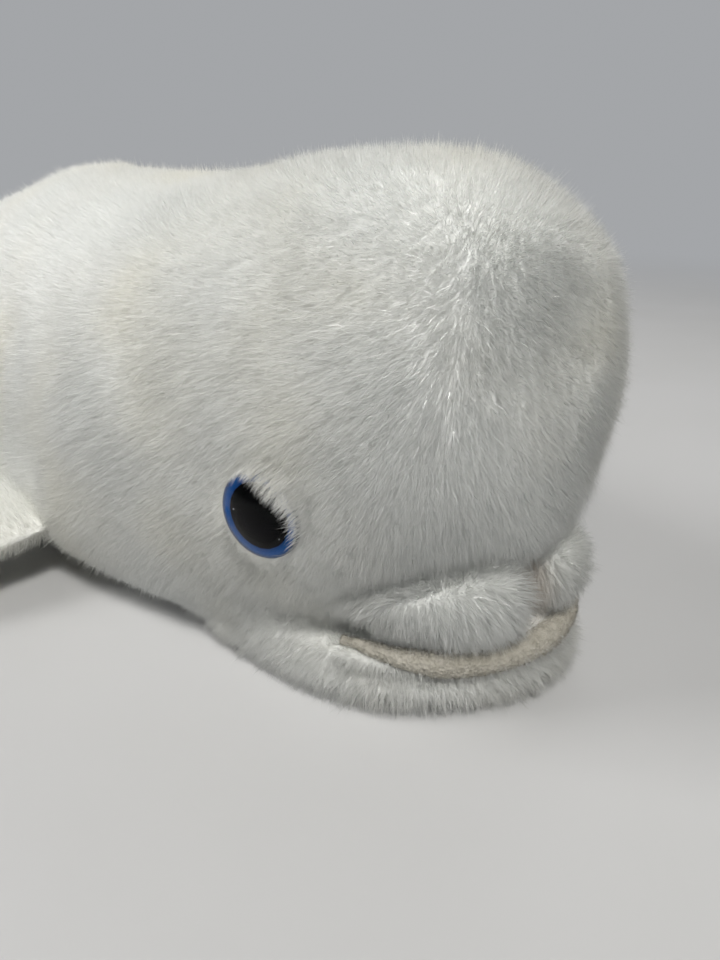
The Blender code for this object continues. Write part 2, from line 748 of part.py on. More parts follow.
def leaf_form(name, frame, size, rows, ring_count, inset, two_sided=False):
    """A flat cushion whose edges and thickness follow the table from its root to its tip.

    The frame is the root's middle, then the ways its chord, its span and its upper face point.
    An inset form has rings only where the cushion is thick enough for one.
    """
    middle, along, span, up = (np.array(v) for v in frame)
    chord, reach, thickness = size
    turn = np.arange(ring_count) / ring_count
    share = np.sin(turn * math.pi / 2) if two_sided else (1 - np.cos(turn * math.pi)) / 2
    if two_sided:
        share = np.concatenate([-share[:0:-1], share])
    front, rear, thick = smooth_table(rows, np.abs(share)).T[:, :, None]
    centre = (front + rear) / 2 * chord
    half_chord = (front - rear) / 2 * chord - inset
    half_thick = thick * thickness / 2 - inset
    angle = np.arange(LEAF_SEGMENTS) * 2 * math.pi / LEAF_SEGMENTS
    kept = half_thick[:, 0] >= (LEAF_EDGE if inset else 0.0)
    ends = share[kept][[0, -1]] * reach + np.array((inset, -inset))
    out = np.clip(share * reach, *ends)
    rings = (
        middle
        + (centre + half_chord * np.cos(angle))[:, :, None] * along
        + (half_thick * np.sin(angle))[:, :, None] * up
        + out[:, None, None] * span
    )[kept]
    if inset:
        return ring_form(name, rings)
    tip_at = middle + (rows[-1][1] + rows[-1][2]) / 2 * chord * along
    tips = tip_at - reach * span, tip_at + reach * span
    return ring_form(name, rings, tips[0] if two_sided else None, tips[1])


def make_flukes(fluke_hinge):
    """Both flukes in one: an upper and a lower panel, sewn round the edge, over wadding."""
    root = Vector((FLUKE_SEAM_X - GAP, 0.0, FLUKE_HEIGHT))
    frame = (root, Vector((1.0, 0.0, 0.0)), Vector((0.0, 1.0, 0.0)), Vector((0.0, 0.0, 1.0)))
    size = (FLUKE_CHORD - GAP, FLUKE_SPAN / 2, FLUKE_THICKNESS)

    def flukes(name, inset):
        return leaf_form(name, frame, size, FLUKE_SHARES, FLUKE_RINGS, inset, two_sided=True)

    reach = FLUKE_SPAN
    seam = GAP / 2
    bore = guide(flukes("fluke_bore", THIN_SKIN))
    for half, low, high in (("top", seam, reach), ("bottom", -reach, -seam)):
        region = guide(
            block(f"fluke_{half}_region", (-reach, -reach, low), (reach, reach, high))
        )
        region.location = root
        panel = flukes("fluke_panel_" + half, 0.0)
        fur(hang(cut(keep(panel, region), bore), fluke_hinge))
    wadding(hang(flukes("fluke_filling", THIN_SKIN + GAP), fluke_hinge))


# Flippers


def flipper_frame(side):
    """The root's middle on the trunk, with X along the root, Y out along the span and Z up."""
    rear = NECK_X - FLIPPER_ROOT_BACK
    ends = [
        surface_at(x, FLIPPER_ROOT_HEIGHT, side)[0] for x in (rear, rear + FLIPPER_ROOT_CHORD)
    ]
    along = (ends[1] - ends[0]).normalized()
    middle, normal = surface_at((ends[0].x + ends[1].x) / 2, FLIPPER_ROOT_HEIGHT, side)
    level = Vector((-along.y, along.x, 0.0)) * side
    down = Vector((0.0, 0.0, -1.0))
    span = (level * math.cos(FLIPPER_DROOP) + down * math.sin(FLIPPER_DROOP)).normalized()
    up = along.cross(span) * side
    middle = middle + span * (GAP / max(span.dot(normal), GAP))
    return middle, along, span, up


def make_flipper(side, name, body_grown):
    """One flipper: an upper and a lower panel over wadding, on a hinge along its root seam."""
    frame = flipper_frame(side)
    middle, along, span, up = frame
    turn = Matrix((along * side, span, up)).transposed().to_4x4()
    swing = hinge(
        f"flipper_{name}_hinge", Matrix.Translation(middle + span * FLIPPER_NOSE) @ turn
    )
    size = (FLIPPER_ROOT_CHORD, FLIPPER_SPAN, FLIPPER_THICKNESS)

    def flipper(label, inset):
        title = f"flipper_{name}_{label}"
        return leaf_form(title, frame, size, FLIPPER_SHARES, FLIPPER_RINGS, inset)

    bore = guide(flipper("bore", THIN_SKIN))
    seam = GAP / 2
    reach = FLIPPER_SPAN + OVERRUN
    for half, low, high in (("top", seam, reach), ("bottom", -reach, -seam)):
        region = guide(
            block(f"flipper_{name}_{half}_region", (-reach, -reach, low), (reach, reach, high))
        )
        region.matrix_world = Matrix.Translation(middle) @ turn
        panel = flipper("panel_" + half, 0.0)
        fur(hang(cut(keep(panel, region), bore, body_grown), swing))
    wadding(hang(cut(flipper("filling", THIN_SKIN + GAP), body_grown), swing))


def main():
    clear_scene()
    outer = guide(body_form("body", 0.0))
    inner = guide(body_form("body_bore", SKIN))
    body_grown = guide(body_form("body_grown", -GAP))
    tail_seam = Vector((TAIL_SEAM_X, 0.0, TAIL_SEAM_HEIGHT))
    socket = guide(ball("tail_socket", tail_seam, TAIL_BALL_RADIUS + SOCKET_CLEARANCE))
    seats, pockets = make_eyes()
    make_body(outer, inner, socket, seats, pockets)
    make_ridge(body_grown)
    make_mouth(body_grown)
    tail_hinge = hinge("tail_hinge", Matrix.Translation(tail_seam))
    make_tail(tail_hinge)
    fluke_hinge = hinge(
        "fluke_hinge", Matrix.Translation((FLUKE_SEAM_X - GAP - FLUKE_NOSE, 0.0, FLUKE_HEIGHT))
    )
    make_flukes(fluke_hinge)
    for side, name in ((-1, "right"), (1, "left")):
        make_flipper(side, name, body_grown)
    bpy.context.view_layer.update()


main()
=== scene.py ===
"""The toy whale's looks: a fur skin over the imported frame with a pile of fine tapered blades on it,
moulded eyes under clear domes, a cream lip roll, a pale table and soft light."""

import json
import math

import bmesh
import bpy
import numpy as np
from mathutils import Matrix, Vector
from mathutils.bvhtree import BVHTree
from mathutils.kdtree import KDTree


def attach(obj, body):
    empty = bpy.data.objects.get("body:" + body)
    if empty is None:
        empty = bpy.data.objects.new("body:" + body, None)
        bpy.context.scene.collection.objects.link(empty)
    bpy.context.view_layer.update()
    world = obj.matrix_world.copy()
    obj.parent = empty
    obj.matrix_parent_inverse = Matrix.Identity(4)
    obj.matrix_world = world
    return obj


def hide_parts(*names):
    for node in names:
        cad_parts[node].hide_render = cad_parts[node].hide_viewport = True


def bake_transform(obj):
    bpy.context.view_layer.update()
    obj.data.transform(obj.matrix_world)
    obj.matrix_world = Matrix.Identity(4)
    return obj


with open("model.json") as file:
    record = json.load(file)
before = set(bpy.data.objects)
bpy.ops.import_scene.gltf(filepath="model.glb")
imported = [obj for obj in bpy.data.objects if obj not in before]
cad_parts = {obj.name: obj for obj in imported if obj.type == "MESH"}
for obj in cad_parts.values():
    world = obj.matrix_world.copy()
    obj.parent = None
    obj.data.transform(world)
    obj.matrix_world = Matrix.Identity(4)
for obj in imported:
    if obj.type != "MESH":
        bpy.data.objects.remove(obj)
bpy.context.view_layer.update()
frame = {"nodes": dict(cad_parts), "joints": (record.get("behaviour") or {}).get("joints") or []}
SCENE = bpy.context.scene

# Sizes and tables of the body, as in the part
HEAD_LENGTH, TRUNK_LENGTH, TAIL_LENGTH, FLUKE_CHORD = 0.104, 0.216, 0.062, 0.048
BODY_WIDTH, CROWN_HEIGHT, FLAT_DEPTH = 0.118, 0.107, 0.0005
NOSE_X = (HEAD_LENGTH + TRUNK_LENGTH + TAIL_LENGTH + FLUKE_CHORD) / 2
NECK_X = NOSE_X - HEAD_LENGTH
TAIL_SEAM_X = NECK_X - TRUNK_LENGTH
FLUKE_SEAM_X = TAIL_SEAM_X - TAIL_LENGTH
TAIL_SEAM_RADIUS, TAIL_SEAM_HEIGHT, FLUKE_HEIGHT = 0.032, 0.039, 0.026
TAIL_SHARES = (
    (0.00, 1.00, 1.00, 0.00),
    (0.20, 0.87, 0.84, 0.32),
    (0.45, 0.71, 0.63, 0.66),
    (0.75, 0.60, 0.43, 0.92),
    (1.00, 0.57, 0.31, 1.00),
)
FLUKE_SPAN, FLUKE_THICKNESS = 0.190, 0.013
FLUKE_SHARES = (
    (0.00, 0.000, -0.800, 1.00),
    (0.18, 0.000, -0.860, 1.00),
    (0.40, -0.110, -0.965, 0.90),
    (0.65, -0.330, -1.000, 0.72),
    (0.88, -0.630, -0.985, 0.42),
    (1.00, -0.860, -0.900, 0.00),
)
FLIPPER_SPAN, FLIPPER_ROOT_CHORD, FLIPPER_THICKNESS = 0.090, 0.044, 0.015
FLIPPER_SHARES = (
    (0.00, 0.50, -0.50, 0.14),
    (0.05, 0.51, -0.51, 0.60),
    (0.15, 0.53, -0.53, 0.84),
    (0.40, 0.47, -0.66, 1.00),
    (0.65, 0.28, -0.79, 0.88),
    (0.85, -0.02, -0.88, 0.60),
    (0.96, -0.32, -0.90, 0.33),
    (1.00, -0.58, -0.70, 0.00),
)
TRUNK_SHARES = (
    (0.17, 0.740, 0.790, 0.022, 0.47, 0.90),
    (0.36, 0.905, 0.893, 0.000, 0.44, 0.72),
    (0.55, 0.985, 0.958, 0.000, 0.42, 0.60),
    (0.74, 1.000, 0.982, 0.000, 0.41, 0.53),
    (0.88, 1.000, 0.968, 0.000, 0.40, 0.49),
    (1.00, 1.000, 0.953, 0.000, 0.40, 0.46),
)
HEAD_SHARES = (
    (0.18, 0.960, 0.957, 0.004, 0.42, 0.46),
    (0.36, 0.885, 0.985, 0.012, 0.45, 0.50),
    (0.55, 0.800, 1.000, 0.040, 0.48, 0.60),
    (0.73, 0.735, 0.985, 0.110, 0.49, 0.75),
    (0.87, 0.640, 0.925, 0.230, 0.50, 0.90),
    (0.96, 0.450, 0.830, 0.355, 0.50, 1.00),
    (1.00, 0.000, 0.600, 0.600, 0.50, 1.00),
)
MOUTH_X = NOSE_X - 0.050
JAW_REACH, JAW_HALF_WIDTH, JAW_RISE = 0.050, 0.0410, 0.0145
JAW_SHARES = ((0.00, 0.86), (0.10, 0.94), (0.35, 1.00), (0.65, 0.99), (0.88, 0.92), (1.00, 0.80))
LINING_HEIGHT, LINING_REACH, LINING_HALF_WIDTH, LINING_RADIUS = 0.0138, 0.0465, 0.0375, 0.0028
LINING_SWEEP = math.radians(62)
LIP_HEIGHT, LIP_REACH, LIP_HALF_WIDTH, LIP_DEPTH, LIP_RISE = 0.0225, 0.0395, 0.0335, 0.0100, 0.0085
LIP_START, LIP_END = math.radians(3), math.radians(66)
LIP_SHARES = ((0.00, 0.25), (0.08, 0.72), (0.28, 1.00), (0.60, 0.86), (0.85, 0.52), (1.00, 0.22))

RIDGE_FRONT, RIDGE_LENGTH, RIDGE_WIDTH, RIDGE_RISE = NECK_X - 0.062, 0.120, 0.018, 0.0045
EYE_RADIUS, EYE_RIM, EYE_RISE, PUPIL_RADIUS = 0.009, 0.0012, 0.0058, 0.0051

# Skins: voxels, fill and the stuffing's forms
VOXEL = 0.00125
FUR_DEPTH = 0.0014  # the backing lies this far inside the part's outer form
TAIL_SPLIT_X = TAIL_SEAM_X - 0.040  # the rear skin's pile starts here
SPLIT_LAP = 0.003  # the body's pile ends this far short of it
LIP_PUFF = 1.14  # the stuffed lips against the part's
LUMP_RISE, HEAD_LUMP_RISE, LUMP_SIZE = 0.0006, 0.0003, 0.030
RIPPLE_RISE, RIPPLE_SIZE = 0.0003, 0.012
NECK_CREASE_DEPTH, NECK_CREASE_REACH, NECK_CREASE_SET_OFF = 0.0007, 0.005, 0.004
NECK_CREASE_FADE = 0.035, 0.075  # the heights between which it fades away downwards
MELON_FOLD = (0.21, 0.013, 0.086), (0.214, 0.011, 0.07), (0.215, 0.001, 0.06), (0.21, -0.007, 0.0385)
MELON_FOLD_RISE, MELON_FOLD_REACH = 0.0024, 0.012
MELON_SIDES = ((0.188, 0.034, 0.085), (0.196, 0.034, 0.056))  # slack places, on either side
MELON_SLACK, MELON_SLACK_REACH = 0.0030, 0.022
MOUTH_BACK, CREASE_TOP, LABEL_TOP = 0.120, 0.045, 0.040  # bounds of the searches round the mouth
JAW_SEAM_FILL, JAW_SEAM_REACH, JAW_SEAM_FADE = 0.0024, 0.0045, (0.188, 0.174)
LIP_CREASE_DEPTH, LIP_CREASE_REACH, LIP_CREASE_FADE = 0.0014, 0.0026, (0.024, 0.030)
ROLL_GROOVE_DEPTH, ROLL_GROOVE_REACH = 0.0022, 0.0018
ROLL_GROOVE_SET_OFF, ROLL_GROOVE_HEIGHT = 0.003, 0.0078
SHOULDER_RISE, SHOULDER_REACH, SHOULDER_HALF_LENGTH = 0.0036, 0.011, 0.019
SEAT_BEHIND_RING, SEAT_MARGIN, SEAT_DEPTH, SEAT_SEARCH = 0.0003, 0.0004, 0.0006, 0.012
EYE_CLEARANCE, DOME_CLEARANCE, BEHIND_SEAT, EYE_SEARCH = 0.0002, 0.00015, 0.003, 0.02
REAR_LAP = 0.004  # of the rear skin over the body's
ROLL_RINGS, ROLL_SIDES, ROLL_TAPER, ROLL_SET_OFF, ROLL_DRAWN_IN = 90, 28, 0.66, 0.0014, 0.0024
FLIPPER_DROOP, FLIPPER_ROOT_LAP = math.radians(6), 0.004

# Pile: lengths, widths and counts
PILE, LIP_PILE, JAW_PILE, SHORN_PILE, LINING_PILE = 0.0038, 0.0046, 0.0046, 0.0042, 0.0011
SHORTEST_PILE, LONGEST_PILE = 0.0008, 0.0095
LENGTH_JITTER, LENGTH_WAVE = 0.14, 0.12
JAW_EDGE_TRIM, LIP_EDGE_TRIM, OVERHANG_GROWTH = 0.45, 0.10, 0.45
FUZZ_SHARE, FUZZ_LEAN, FUZZ_LENGTHS = 0.20, 0.5, (0.75, 1.45)  # fuzz stands up from the rest
EYE_TRIM, FRINGE_TRIM, FRINGE_LENGTHS, COMB_STRENGTH = 0.60, 0.25, (0.75, 1.08), 3.0
HEAD_WEIGHT, TRUNK_WEIGHT, MOUTH_WEIGHT, BROW_WEIGHT = 0.54, 0.46, 0.3, 2.0
HEAD_NAP, SIDE_SWEEP, NAP_WAVE = (-0.20, 0.30, -0.80), 0.45, 0.26
TRUNK_NAP, JAW_NAP, LIP_NAP = (-1.0, 0.0, -0.35), (0.0, 0.0, -0.8), (0.45, 0.0, -1.15)
JAW_FAN = 0.55
LIP_MIDDLE = np.array((0.186, 0.026, 0.036))  # the lips' nap fans out from here
BROW_WAY = np.array((0.52, 0.0, 0.85))  # from each eye to its brow, against the nap
EYE_NEAR = 0.015  # the pile round an eye roots within this height of its seat
HALF_WIDTH = 0.00006
BODY_HALF_WIDTH = HALF_WIDTH * 1.0
SHORN_HALF_WIDTH = HALF_WIDTH * 1.15
FEWER = 1
BODY_BLADES, REAR_BLADES, FLIPPER_BLADES, LINING_BLADES = 690_000, 66_000, 60_000, 16_000
MOST_BLADES = 64_000  # in one piece of pile
BLADE_BEND, BLADE_SWAY, MOST_LEAN = 0.30, 0.35, 0.96
WHORL_SWAY, LINING_SWAY, LINING_LEAN = 0.75, 0.6, 0.5  # a whorl's sway comes on top
FLAT_LEAN, SWEPT_LEAN, MOUTH_LEAN, EYE_LEAN, LEAN_JITTER = 0.06, 0.50, 0.42, 0.30, 0.08
SHORN_LEAN, SHORN_FUZZ_LEAN = 0.58, 0.25
REAR_WIDENING = 0.35  # of the blades behind the neck
ROOT_SINK, ROOT_SCATTER = 0.0004, 0.16
TUFT_BLADES, TUFT_REACH, TUFT_HOLD, TUFT_HOLDS = 14, 0.0025, 0.45, (0.3, 1.2)
MIDDLE_HOLD = 0.5**1.2  # of a blade's middle against its tip
BLADE_TWIST, WIDTH_SHARES, TAPER_SHARES = 0.5, (0.7, 1.3), (1.15, 0.45)
SHADE_LIFT, SHADE_JITTER = 0.45, 0.26
TABLE_GAP = 0.0003
CROWN_HALF_WIDTH = 0.021  # the pile of the head is in three pieces
BODY, JAW, LIP = 0, 1, 2  # labels of the places on the body's skin
RNG = np.random.default_rng(11)
SIDES = ((-1, "right"), (1, "left"))
WHITE, BLACK = (1.0, 1.0, 1.0), (0.0, 0.0, 0.0)

# The camera, from the photograph's table edges and the eye's size
AZIMUTH = math.radians(48)
CAMERA_HEIGHT, CAMERA_PITCH, LENS_MM = 0.100, math.radians(22.3), 27.0
CAMERA_SET_OFF = (-0.10473, 0.28604)  # of the part's origin: right of and ahead of the camera


# Numbers


def smooth_table(rows, places):
    table = np.array(rows, float)
    at, values = table[:, 0], table[:, 1:]
    slopes = np.gradient(values, at, axis=0)
    low = np.clip(np.searchsorted(at, places, side="right") - 1, 0, len(at) - 2)
    step = (at[low + 1] - at[low])[:, None]
    t = (np.asarray(places)[:, None] - at[low][:, None]) / step
    return (
        values[low] * (1 + 2 * t) * (1 - t) ** 2
        + slopes[low] * step * t * (1 - t) ** 2
        + values[low + 1] * t**2 * (3 - 2 * t)
        + slopes[low + 1] * step * t**2 * (t - 1)
    )


def unit(v):
    return v / np.maximum(np.linalg.norm(v, axis=-1, keepdims=True), 1e-12)


def full_turn(count):
    return np.arange(count) * 2 * math.pi / count


def step_up(low, high, value):
    """0 below low, 1 above high and a smooth rise between."""
    t = np.clip((value - low) / (high - low), 0, 1)
    return t * t * (3 - 2 * t)


def waves(points, size, seed):
    """A smooth irregular field over space, about -1 to 1, with humps of about this size."""
    rng = np.random.default_rng(seed)
    total = 0
    for _ in range(7):
        heading = unit(rng.normal(size=3)) * rng.uniform(0.7, 1.4) * math.pi / size
        total = total + np.sin(points @ heading + rng.uniform(0, 2 * math.pi))
    return total / 2.6


# Shells: each is points and faces of a closed form


def shell(rings, first=None, last=None):
    """Points and faces of a closed stack of rings."""
    rings = np.asarray(rings, float)
    n, m = rings.shape[:2]
    points = rings.reshape(-1, 3)
    i, j = np.meshgrid(np.arange(n - 1), np.arange(m), indexing="ij")
    k = (j + 1) % m
    quads = np.stack([i * m + j, i * m + k, (i + 1) * m + k, (i + 1) * m + j], -1).reshape(-1, 4)
    ends = [rings[0].mean(0) if first is None else first, rings[-1].mean(0) if last is None else last]
    points = np.concatenate([points, np.array(ends, float)])
    j = np.arange(m)
    a, b = n * m, n * m + 1
    fan1 = np.stack([(j + 1) % m, j, np.full(m, a)], -1)
    fan2 = np.stack([(n - 1) * m + j, (n - 1) * m + (j + 1) % m, np.full(m, b)], -1)
    return points, quads.tolist() + fan1.tolist() + fan2.tolist()


def station_rows():
    seam, radius = TAIL_SEAM_HEIGHT + FLAT_DEPTH, TAIL_SEAM_RADIUS
    rows = [(0.0, radius, seam + radius, seam - radius, 0.5, 1.0)]
    runs = [place * TRUNK_LENGTH for place, *_ in TRUNK_SHARES]
    runs += [TRUNK_LENGTH + HEAD_LENGTH * math.asin(place) for place, *_ in HEAD_SHARES]
    for run, row in zip(runs, TRUNK_SHARES + HEAD_SHARES):
        _, width, crown, belly, *shares = row
        rows.append((run, width * BODY_WIDTH / 2, crown * CROWN_HEIGHT, belly * CROWN_HEIGHT, *shares))
    return rows


def body_rings(runs, segments):
    width, crown, belly, widest, round_share = smooth_table(station_rows(), runs).T[:, :, None]
    angle = full_turn(segments)
    middle = belly + widest * (crown - belly)
    up, across = np.cos(angle), -np.sin(angle)
    power = np.where(up > 0, 1.0, round_share)
    rise = np.sign(up) * np.abs(up) ** power
    z = middle + np.where(up > 0, crown - middle, middle - belly) * rise - FLAT_DEPTH
    y = width * np.sign(across) * np.abs(across) ** power
    head = np.clip((runs - TRUNK_LENGTH) / HEAD_LENGTH, 0, math.pi / 2)
    x = TAIL_SEAM_X + np.minimum(runs, TRUNK_LENGTH) + HEAD_LENGTH * np.sin(head)
    return np.stack([np.broadcast_to(x[:, None], y.shape), y, z], axis=2)


def tail_rings(places, segments):
    width, height, sunk = smooth_table(TAIL_SHARES, places).T[:, :, None]
    # the tail leaves the trunk at the trunk's own radius, and narrows to the tail's
    grow = np.clip(1 - np.asarray(places) / 0.25, 0, 1)[:, None] ** 2 * 0.0022
    radius = TAIL_SEAM_RADIUS - 0.0023 + grow
    angle = full_turn(segments)
    y = -radius * width * np.sin(angle)
    middle = TAIL_SEAM_HEIGHT + sunk * (FLUKE_HEIGHT - TAIL_SEAM_HEIGHT)
    z = middle + radius * height * np.cos(angle)
    x = np.broadcast_to(TAIL_SEAM_X - np.asarray(places)[:, None] * TAIL_LENGTH, y.shape)
    return np.stack([x, y, z], axis=2)


def round_the_mouth(angle, reach, half_width, height):
    """Points on an oval round the mouth's middle, and the way out from it at each."""
    level = np.stack([np.cos(angle), np.sin(angle), 0 * angle], axis=1)
    path = np.array((MOUTH_X, 0.0, height)) + level * (reach, half_width, 0.0)
    return path, unit(level / (reach, half_width, 1.0))


def roll_rings(path, out, depths, rises, sides):
    """Rings along a path, this deep along out and this high."""
    angle = full_turn(sides)
    deep = (depths[:, None] * out)[:, None] * np.cos(angle)[None, :, None]
    high = rises[:, None, None] * np.array((0.0, 0.0, 1.0)) * np.sin(angle)[None, :, None]
    return path[:, None] + deep + high


def body_shell():
    trunk = np.linspace(0.0, TRUNK_LENGTH, 100)
    head = TRUNK_LENGTH + np.linspace(0, HEAD_LENGTH * math.pi / 2, 81)[1:-1]
    rings = body_rings(np.concatenate([trunk, head]), 160)
    tip = np.array((NOSE_X, 0.0, HEAD_SHARES[-1][2] * CROWN_HEIGHT - FLAT_DEPTH))
    tail = tail_rings(np.linspace(0.02, 1.0, 30), 160)[::-1]
    return shell(np.concatenate([tail, rings]), None, tip)


def jaw_shell():
    share = np.linspace(0.0, 1.0, 24)
    size = smooth_table(JAW_SHARES, share)[:, 0]
    angle = full_turn(120)
    rings = [
        round_the_mouth(angle, JAW_REACH * s, JAW_HALF_WIDTH * s, JAW_RISE * h)[0]
        for h, s in zip(share, size)
    ]
    return shell(rings)


def lip_shell(side):
    share = (1 - np.cos(np.linspace(0.0, math.pi, 40))) / 2
    size = smooth_table(LIP_SHARES, share)[:, 0]
    angle = side * (LIP_START + share * (LIP_END - LIP_START))
    path, out = round_the_mouth(angle, LIP_REACH, LIP_HALF_WIDTH, LIP_HEIGHT)
    return shell(roll_rings(path, out, LIP_PUFF * LIP_DEPTH * size, LIP_PUFF * LIP_RISE * size, 40))


def ridge_shell():
    share = np.linspace(0.0, 1.0, 62)[1:-1]
    x = RIDGE_FRONT - RIDGE_LENGTH * share
    swell = np.sqrt(np.sin(math.pi * share))[:, None]
    crown = smooth_table(station_rows(), x - TAIL_SEAM_X)[:, 1, None] - FLAT_DEPTH
    angle = full_turn(36)
    y = RIDGE_WIDTH / 2 * swell * np.sin(angle)
    z = crown + RIDGE_RISE * swell * np.cos(angle)
    return shell(np.stack([np.broadcast_to(x[:, None], y.shape), y, z], axis=2))


def leaf_shell(root, size, rows, count, both=False):
    """A flat cushion from its root: middle, and the ways of its chord, span and upper face."""
    middle, along, span, up = (np.array(v) for v in root)
    chord, reach, thickness = size
    turn = np.linspace(0, 1, count)[:-1]
    share = np.sin(turn * math.pi / 2) if both else (1 - np.cos(turn * math.pi)) / 2
    if both:
        share = np.concatenate([-share[:0:-1], share])
    front, rear, thick = smooth_table(rows, np.abs(share)).T[:, :, None]
    angle = full_turn(60)
    across = (front + rear) / 2 * chord + (front - rear) / 2 * chord * np.cos(angle)
    rise = thick * thickness / 2 * np.sin(angle)
    out = (share * reach)[:, None]
    rings = middle + across[:, :, None] * along + rise[:, :, None] * up + out[:, :, None] * span
    tip = middle + (rows[-1][1] + rows[-1][2]) / 2 * chord * along
    return shell(rings, tip - reach * span if both else None, tip + reach * span)


# Skins


def placed(name, data):
    obj = bpy.data.objects.new(name, data)
    SCENE.collection.objects.link(obj)
    return obj


def plain_object(name, points, faces):
    mesh = bpy.data.meshes.new(name)
    mesh.from_pydata(np.asarray(points).tolist(), [], faces)
    return placed(name, mesh)


def face_out(obj):
    bm = bmesh.new()
    bm.from_mesh(obj.data)
    bmesh.ops.recalc_face_normals(bm, faces=bm.faces)
    bm.to_mesh(obj.data)
    bm.free()


def joined(shells):
    """Points and faces of several shells as one."""
    points, faces, start = [], [], 0
    for place, ring in shells:
        points.append(place)
        faces += [[v + start for v in face] for face in ring]
        start += len(place)
    return np.concatenate(points), faces


def vectors(rows, field):
    """A field of three numbers of a mesh's elements."""
    flat = np.zeros(len(rows) * 3)
    rows.foreach_get(field, flat)
    return flat.reshape(-1, 3)


def remeshed(name, shells, voxel):
    """One closed mesh round all the shells."""
    rough = plain_object(name + "_rough", *joined(shells))
    face_out(rough)
    step = rough.modifiers.new("remesh", "REMESH")
    step.mode = "VOXEL"
    step.voxel_size = voxel
    step.adaptivity = 0.0
    made = rough.evaluated_get(bpy.context.evaluated_depsgraph_get())
    mesh = bpy.data.meshes.new_from_object(made)
    bpy.data.objects.remove(rough)
    mesh.name = name
    return mesh


def softened(mesh, rounds):
    """The mesh's points, each moved half-way to the mean of its neighbours this many times."""
    co = vectors(mesh.vertices, "co")
    edges = np.zeros(len(mesh.edges) * 2, int)
    mesh.edges.foreach_get("vertices", edges)
    a, b = edges.reshape(-1, 2).T
    count = len(co)
    degree = np.bincount(a, minlength=count) + np.bincount(b, minlength=count)
    for _ in range(rounds):
        mean = [np.bincount(a, co[b, k], count) + np.bincount(b, co[a, k], count) for k in range(3)]
        co = co + 0.5 * (np.stack(mean, 1) / degree[:, None] - co)
    return co


def reshape(mesh, co):
    mesh.vertices.foreach_set("co", co.ravel())
    mesh.update()


def skin(name, shells, voxel, rounds, swell, pressed=None):
    """One closed skin round all the shells, its creases softened, then moved out by swell."""
    mesh = remeshed(name, shells, voxel)
    co = softened(mesh, rounds)
    reshape(mesh, co)
    co = co + vectors(mesh.vertex_normals, "vector") * swell(co)[:, None]
    if pressed is not None:
        co = pressed(co)
    co[:, 2] = np.maximum(co[:, 2], 0.0)
    reshape(mesh, co)
    mesh.shade_smooth()
    return placed(name, mesh)


# Pile


def scatter(obj, count, weight):
    """Points and normals over a mesh, as dense as weight says."""
    mesh = obj.data
    mesh.calc_loop_triangles()
    tri = np.zeros(len(mesh.loop_triangles) * 3, np.int32)
    mesh.loop_triangles.foreach_get("vertices", tri)
    tri = tri.reshape(-1, 3)
    co, facing = vectors(mesh.vertices, "co"), vectors(mesh.vertex_normals, "vector")
    a, b, c = co[tri].transpose(1, 0, 2)
    area = np.linalg.norm(np.cross(b - a, c - a), axis=1) / 2
    total = np.cumsum(area * weight((a + b + c) / 3, unit(facing[tri].sum(1))))
    pick = np.searchsorted(total, RNG.uniform(0, total[-1], count)).clip(0, len(tri) - 1)
    r, s = np.sqrt(RNG.uniform(size=count)), RNG.uniform(size=count)
    shares = np.stack([1 - r, r * (1 - s), r * s], 1)
    points = np.einsum("ij,ijk->ik", shares, co[tri[pick]])
    return points, unit(np.einsum("ij,ijk->ik", shares, facing[tri[pick]]))


def laid_flat(nap, normals):
    """The share of the nap that lies in the skin."""
    return nap - np.sum(nap * normals, 1, keepdims=True) * normals


def groom(roots, normals, nap, length, lean, bend=BLADE_BEND, sway=BLADE_SWAY):
    """Root, middle and tip of blades that rise from the skin, bend along the nap and meet in tufts."""
    count = len(roots)
    nap = unit(laid_flat(unit(nap) + RNG.normal(0, 1, (count, 3)) * sway, normals))
    away = unit(normals + RNG.normal(0, ROOT_SCATTER, (count, 3)))
    curve = np.empty((count, 3, 3))
    curve[:, 0] = roots - normals * ROOT_SINK
    for s, over in ((1, lean), (2, lean + bend / 2)):
        over = np.minimum(over, MOST_LEAN)[:, None]
        heading = unit(away * np.sqrt(1 - over**2) + nap * over)
        curve[:, s] = curve[:, s - 1] + heading * (length / 2)[:, None]
    gather(curve, roots)
    curve[:, :, 2] = np.maximum(curve[:, :, 2], TABLE_GAP)
    return curve


def gather(curve, roots):
    """Pulls each blade towards the leader of its tuft, most at its tip."""
    count = len(roots)
    leaders = RNG.permutation(count)[: max(1, count // TUFT_BLADES)]
    tree = KDTree(len(leaders))
    for i, leader in enumerate(leaders):
        tree.insert(roots[leader], i)
    tree.balance()
    near = np.array([leaders[tree.find(p)[1]] for p in roots])
    pull = TUFT_HOLD * RNG.uniform(*TUFT_HOLDS, count)
    pull *= np.linalg.norm(roots[near] - roots, axis=1) < TUFT_REACH
    for s, hold in ((1, MIDDLE_HOLD), (2, 1.0)):
        k = (pull * hold)[:, None]
        curve[:, s] = curve[:, s] * (1 - k) + curve[near, s] * k


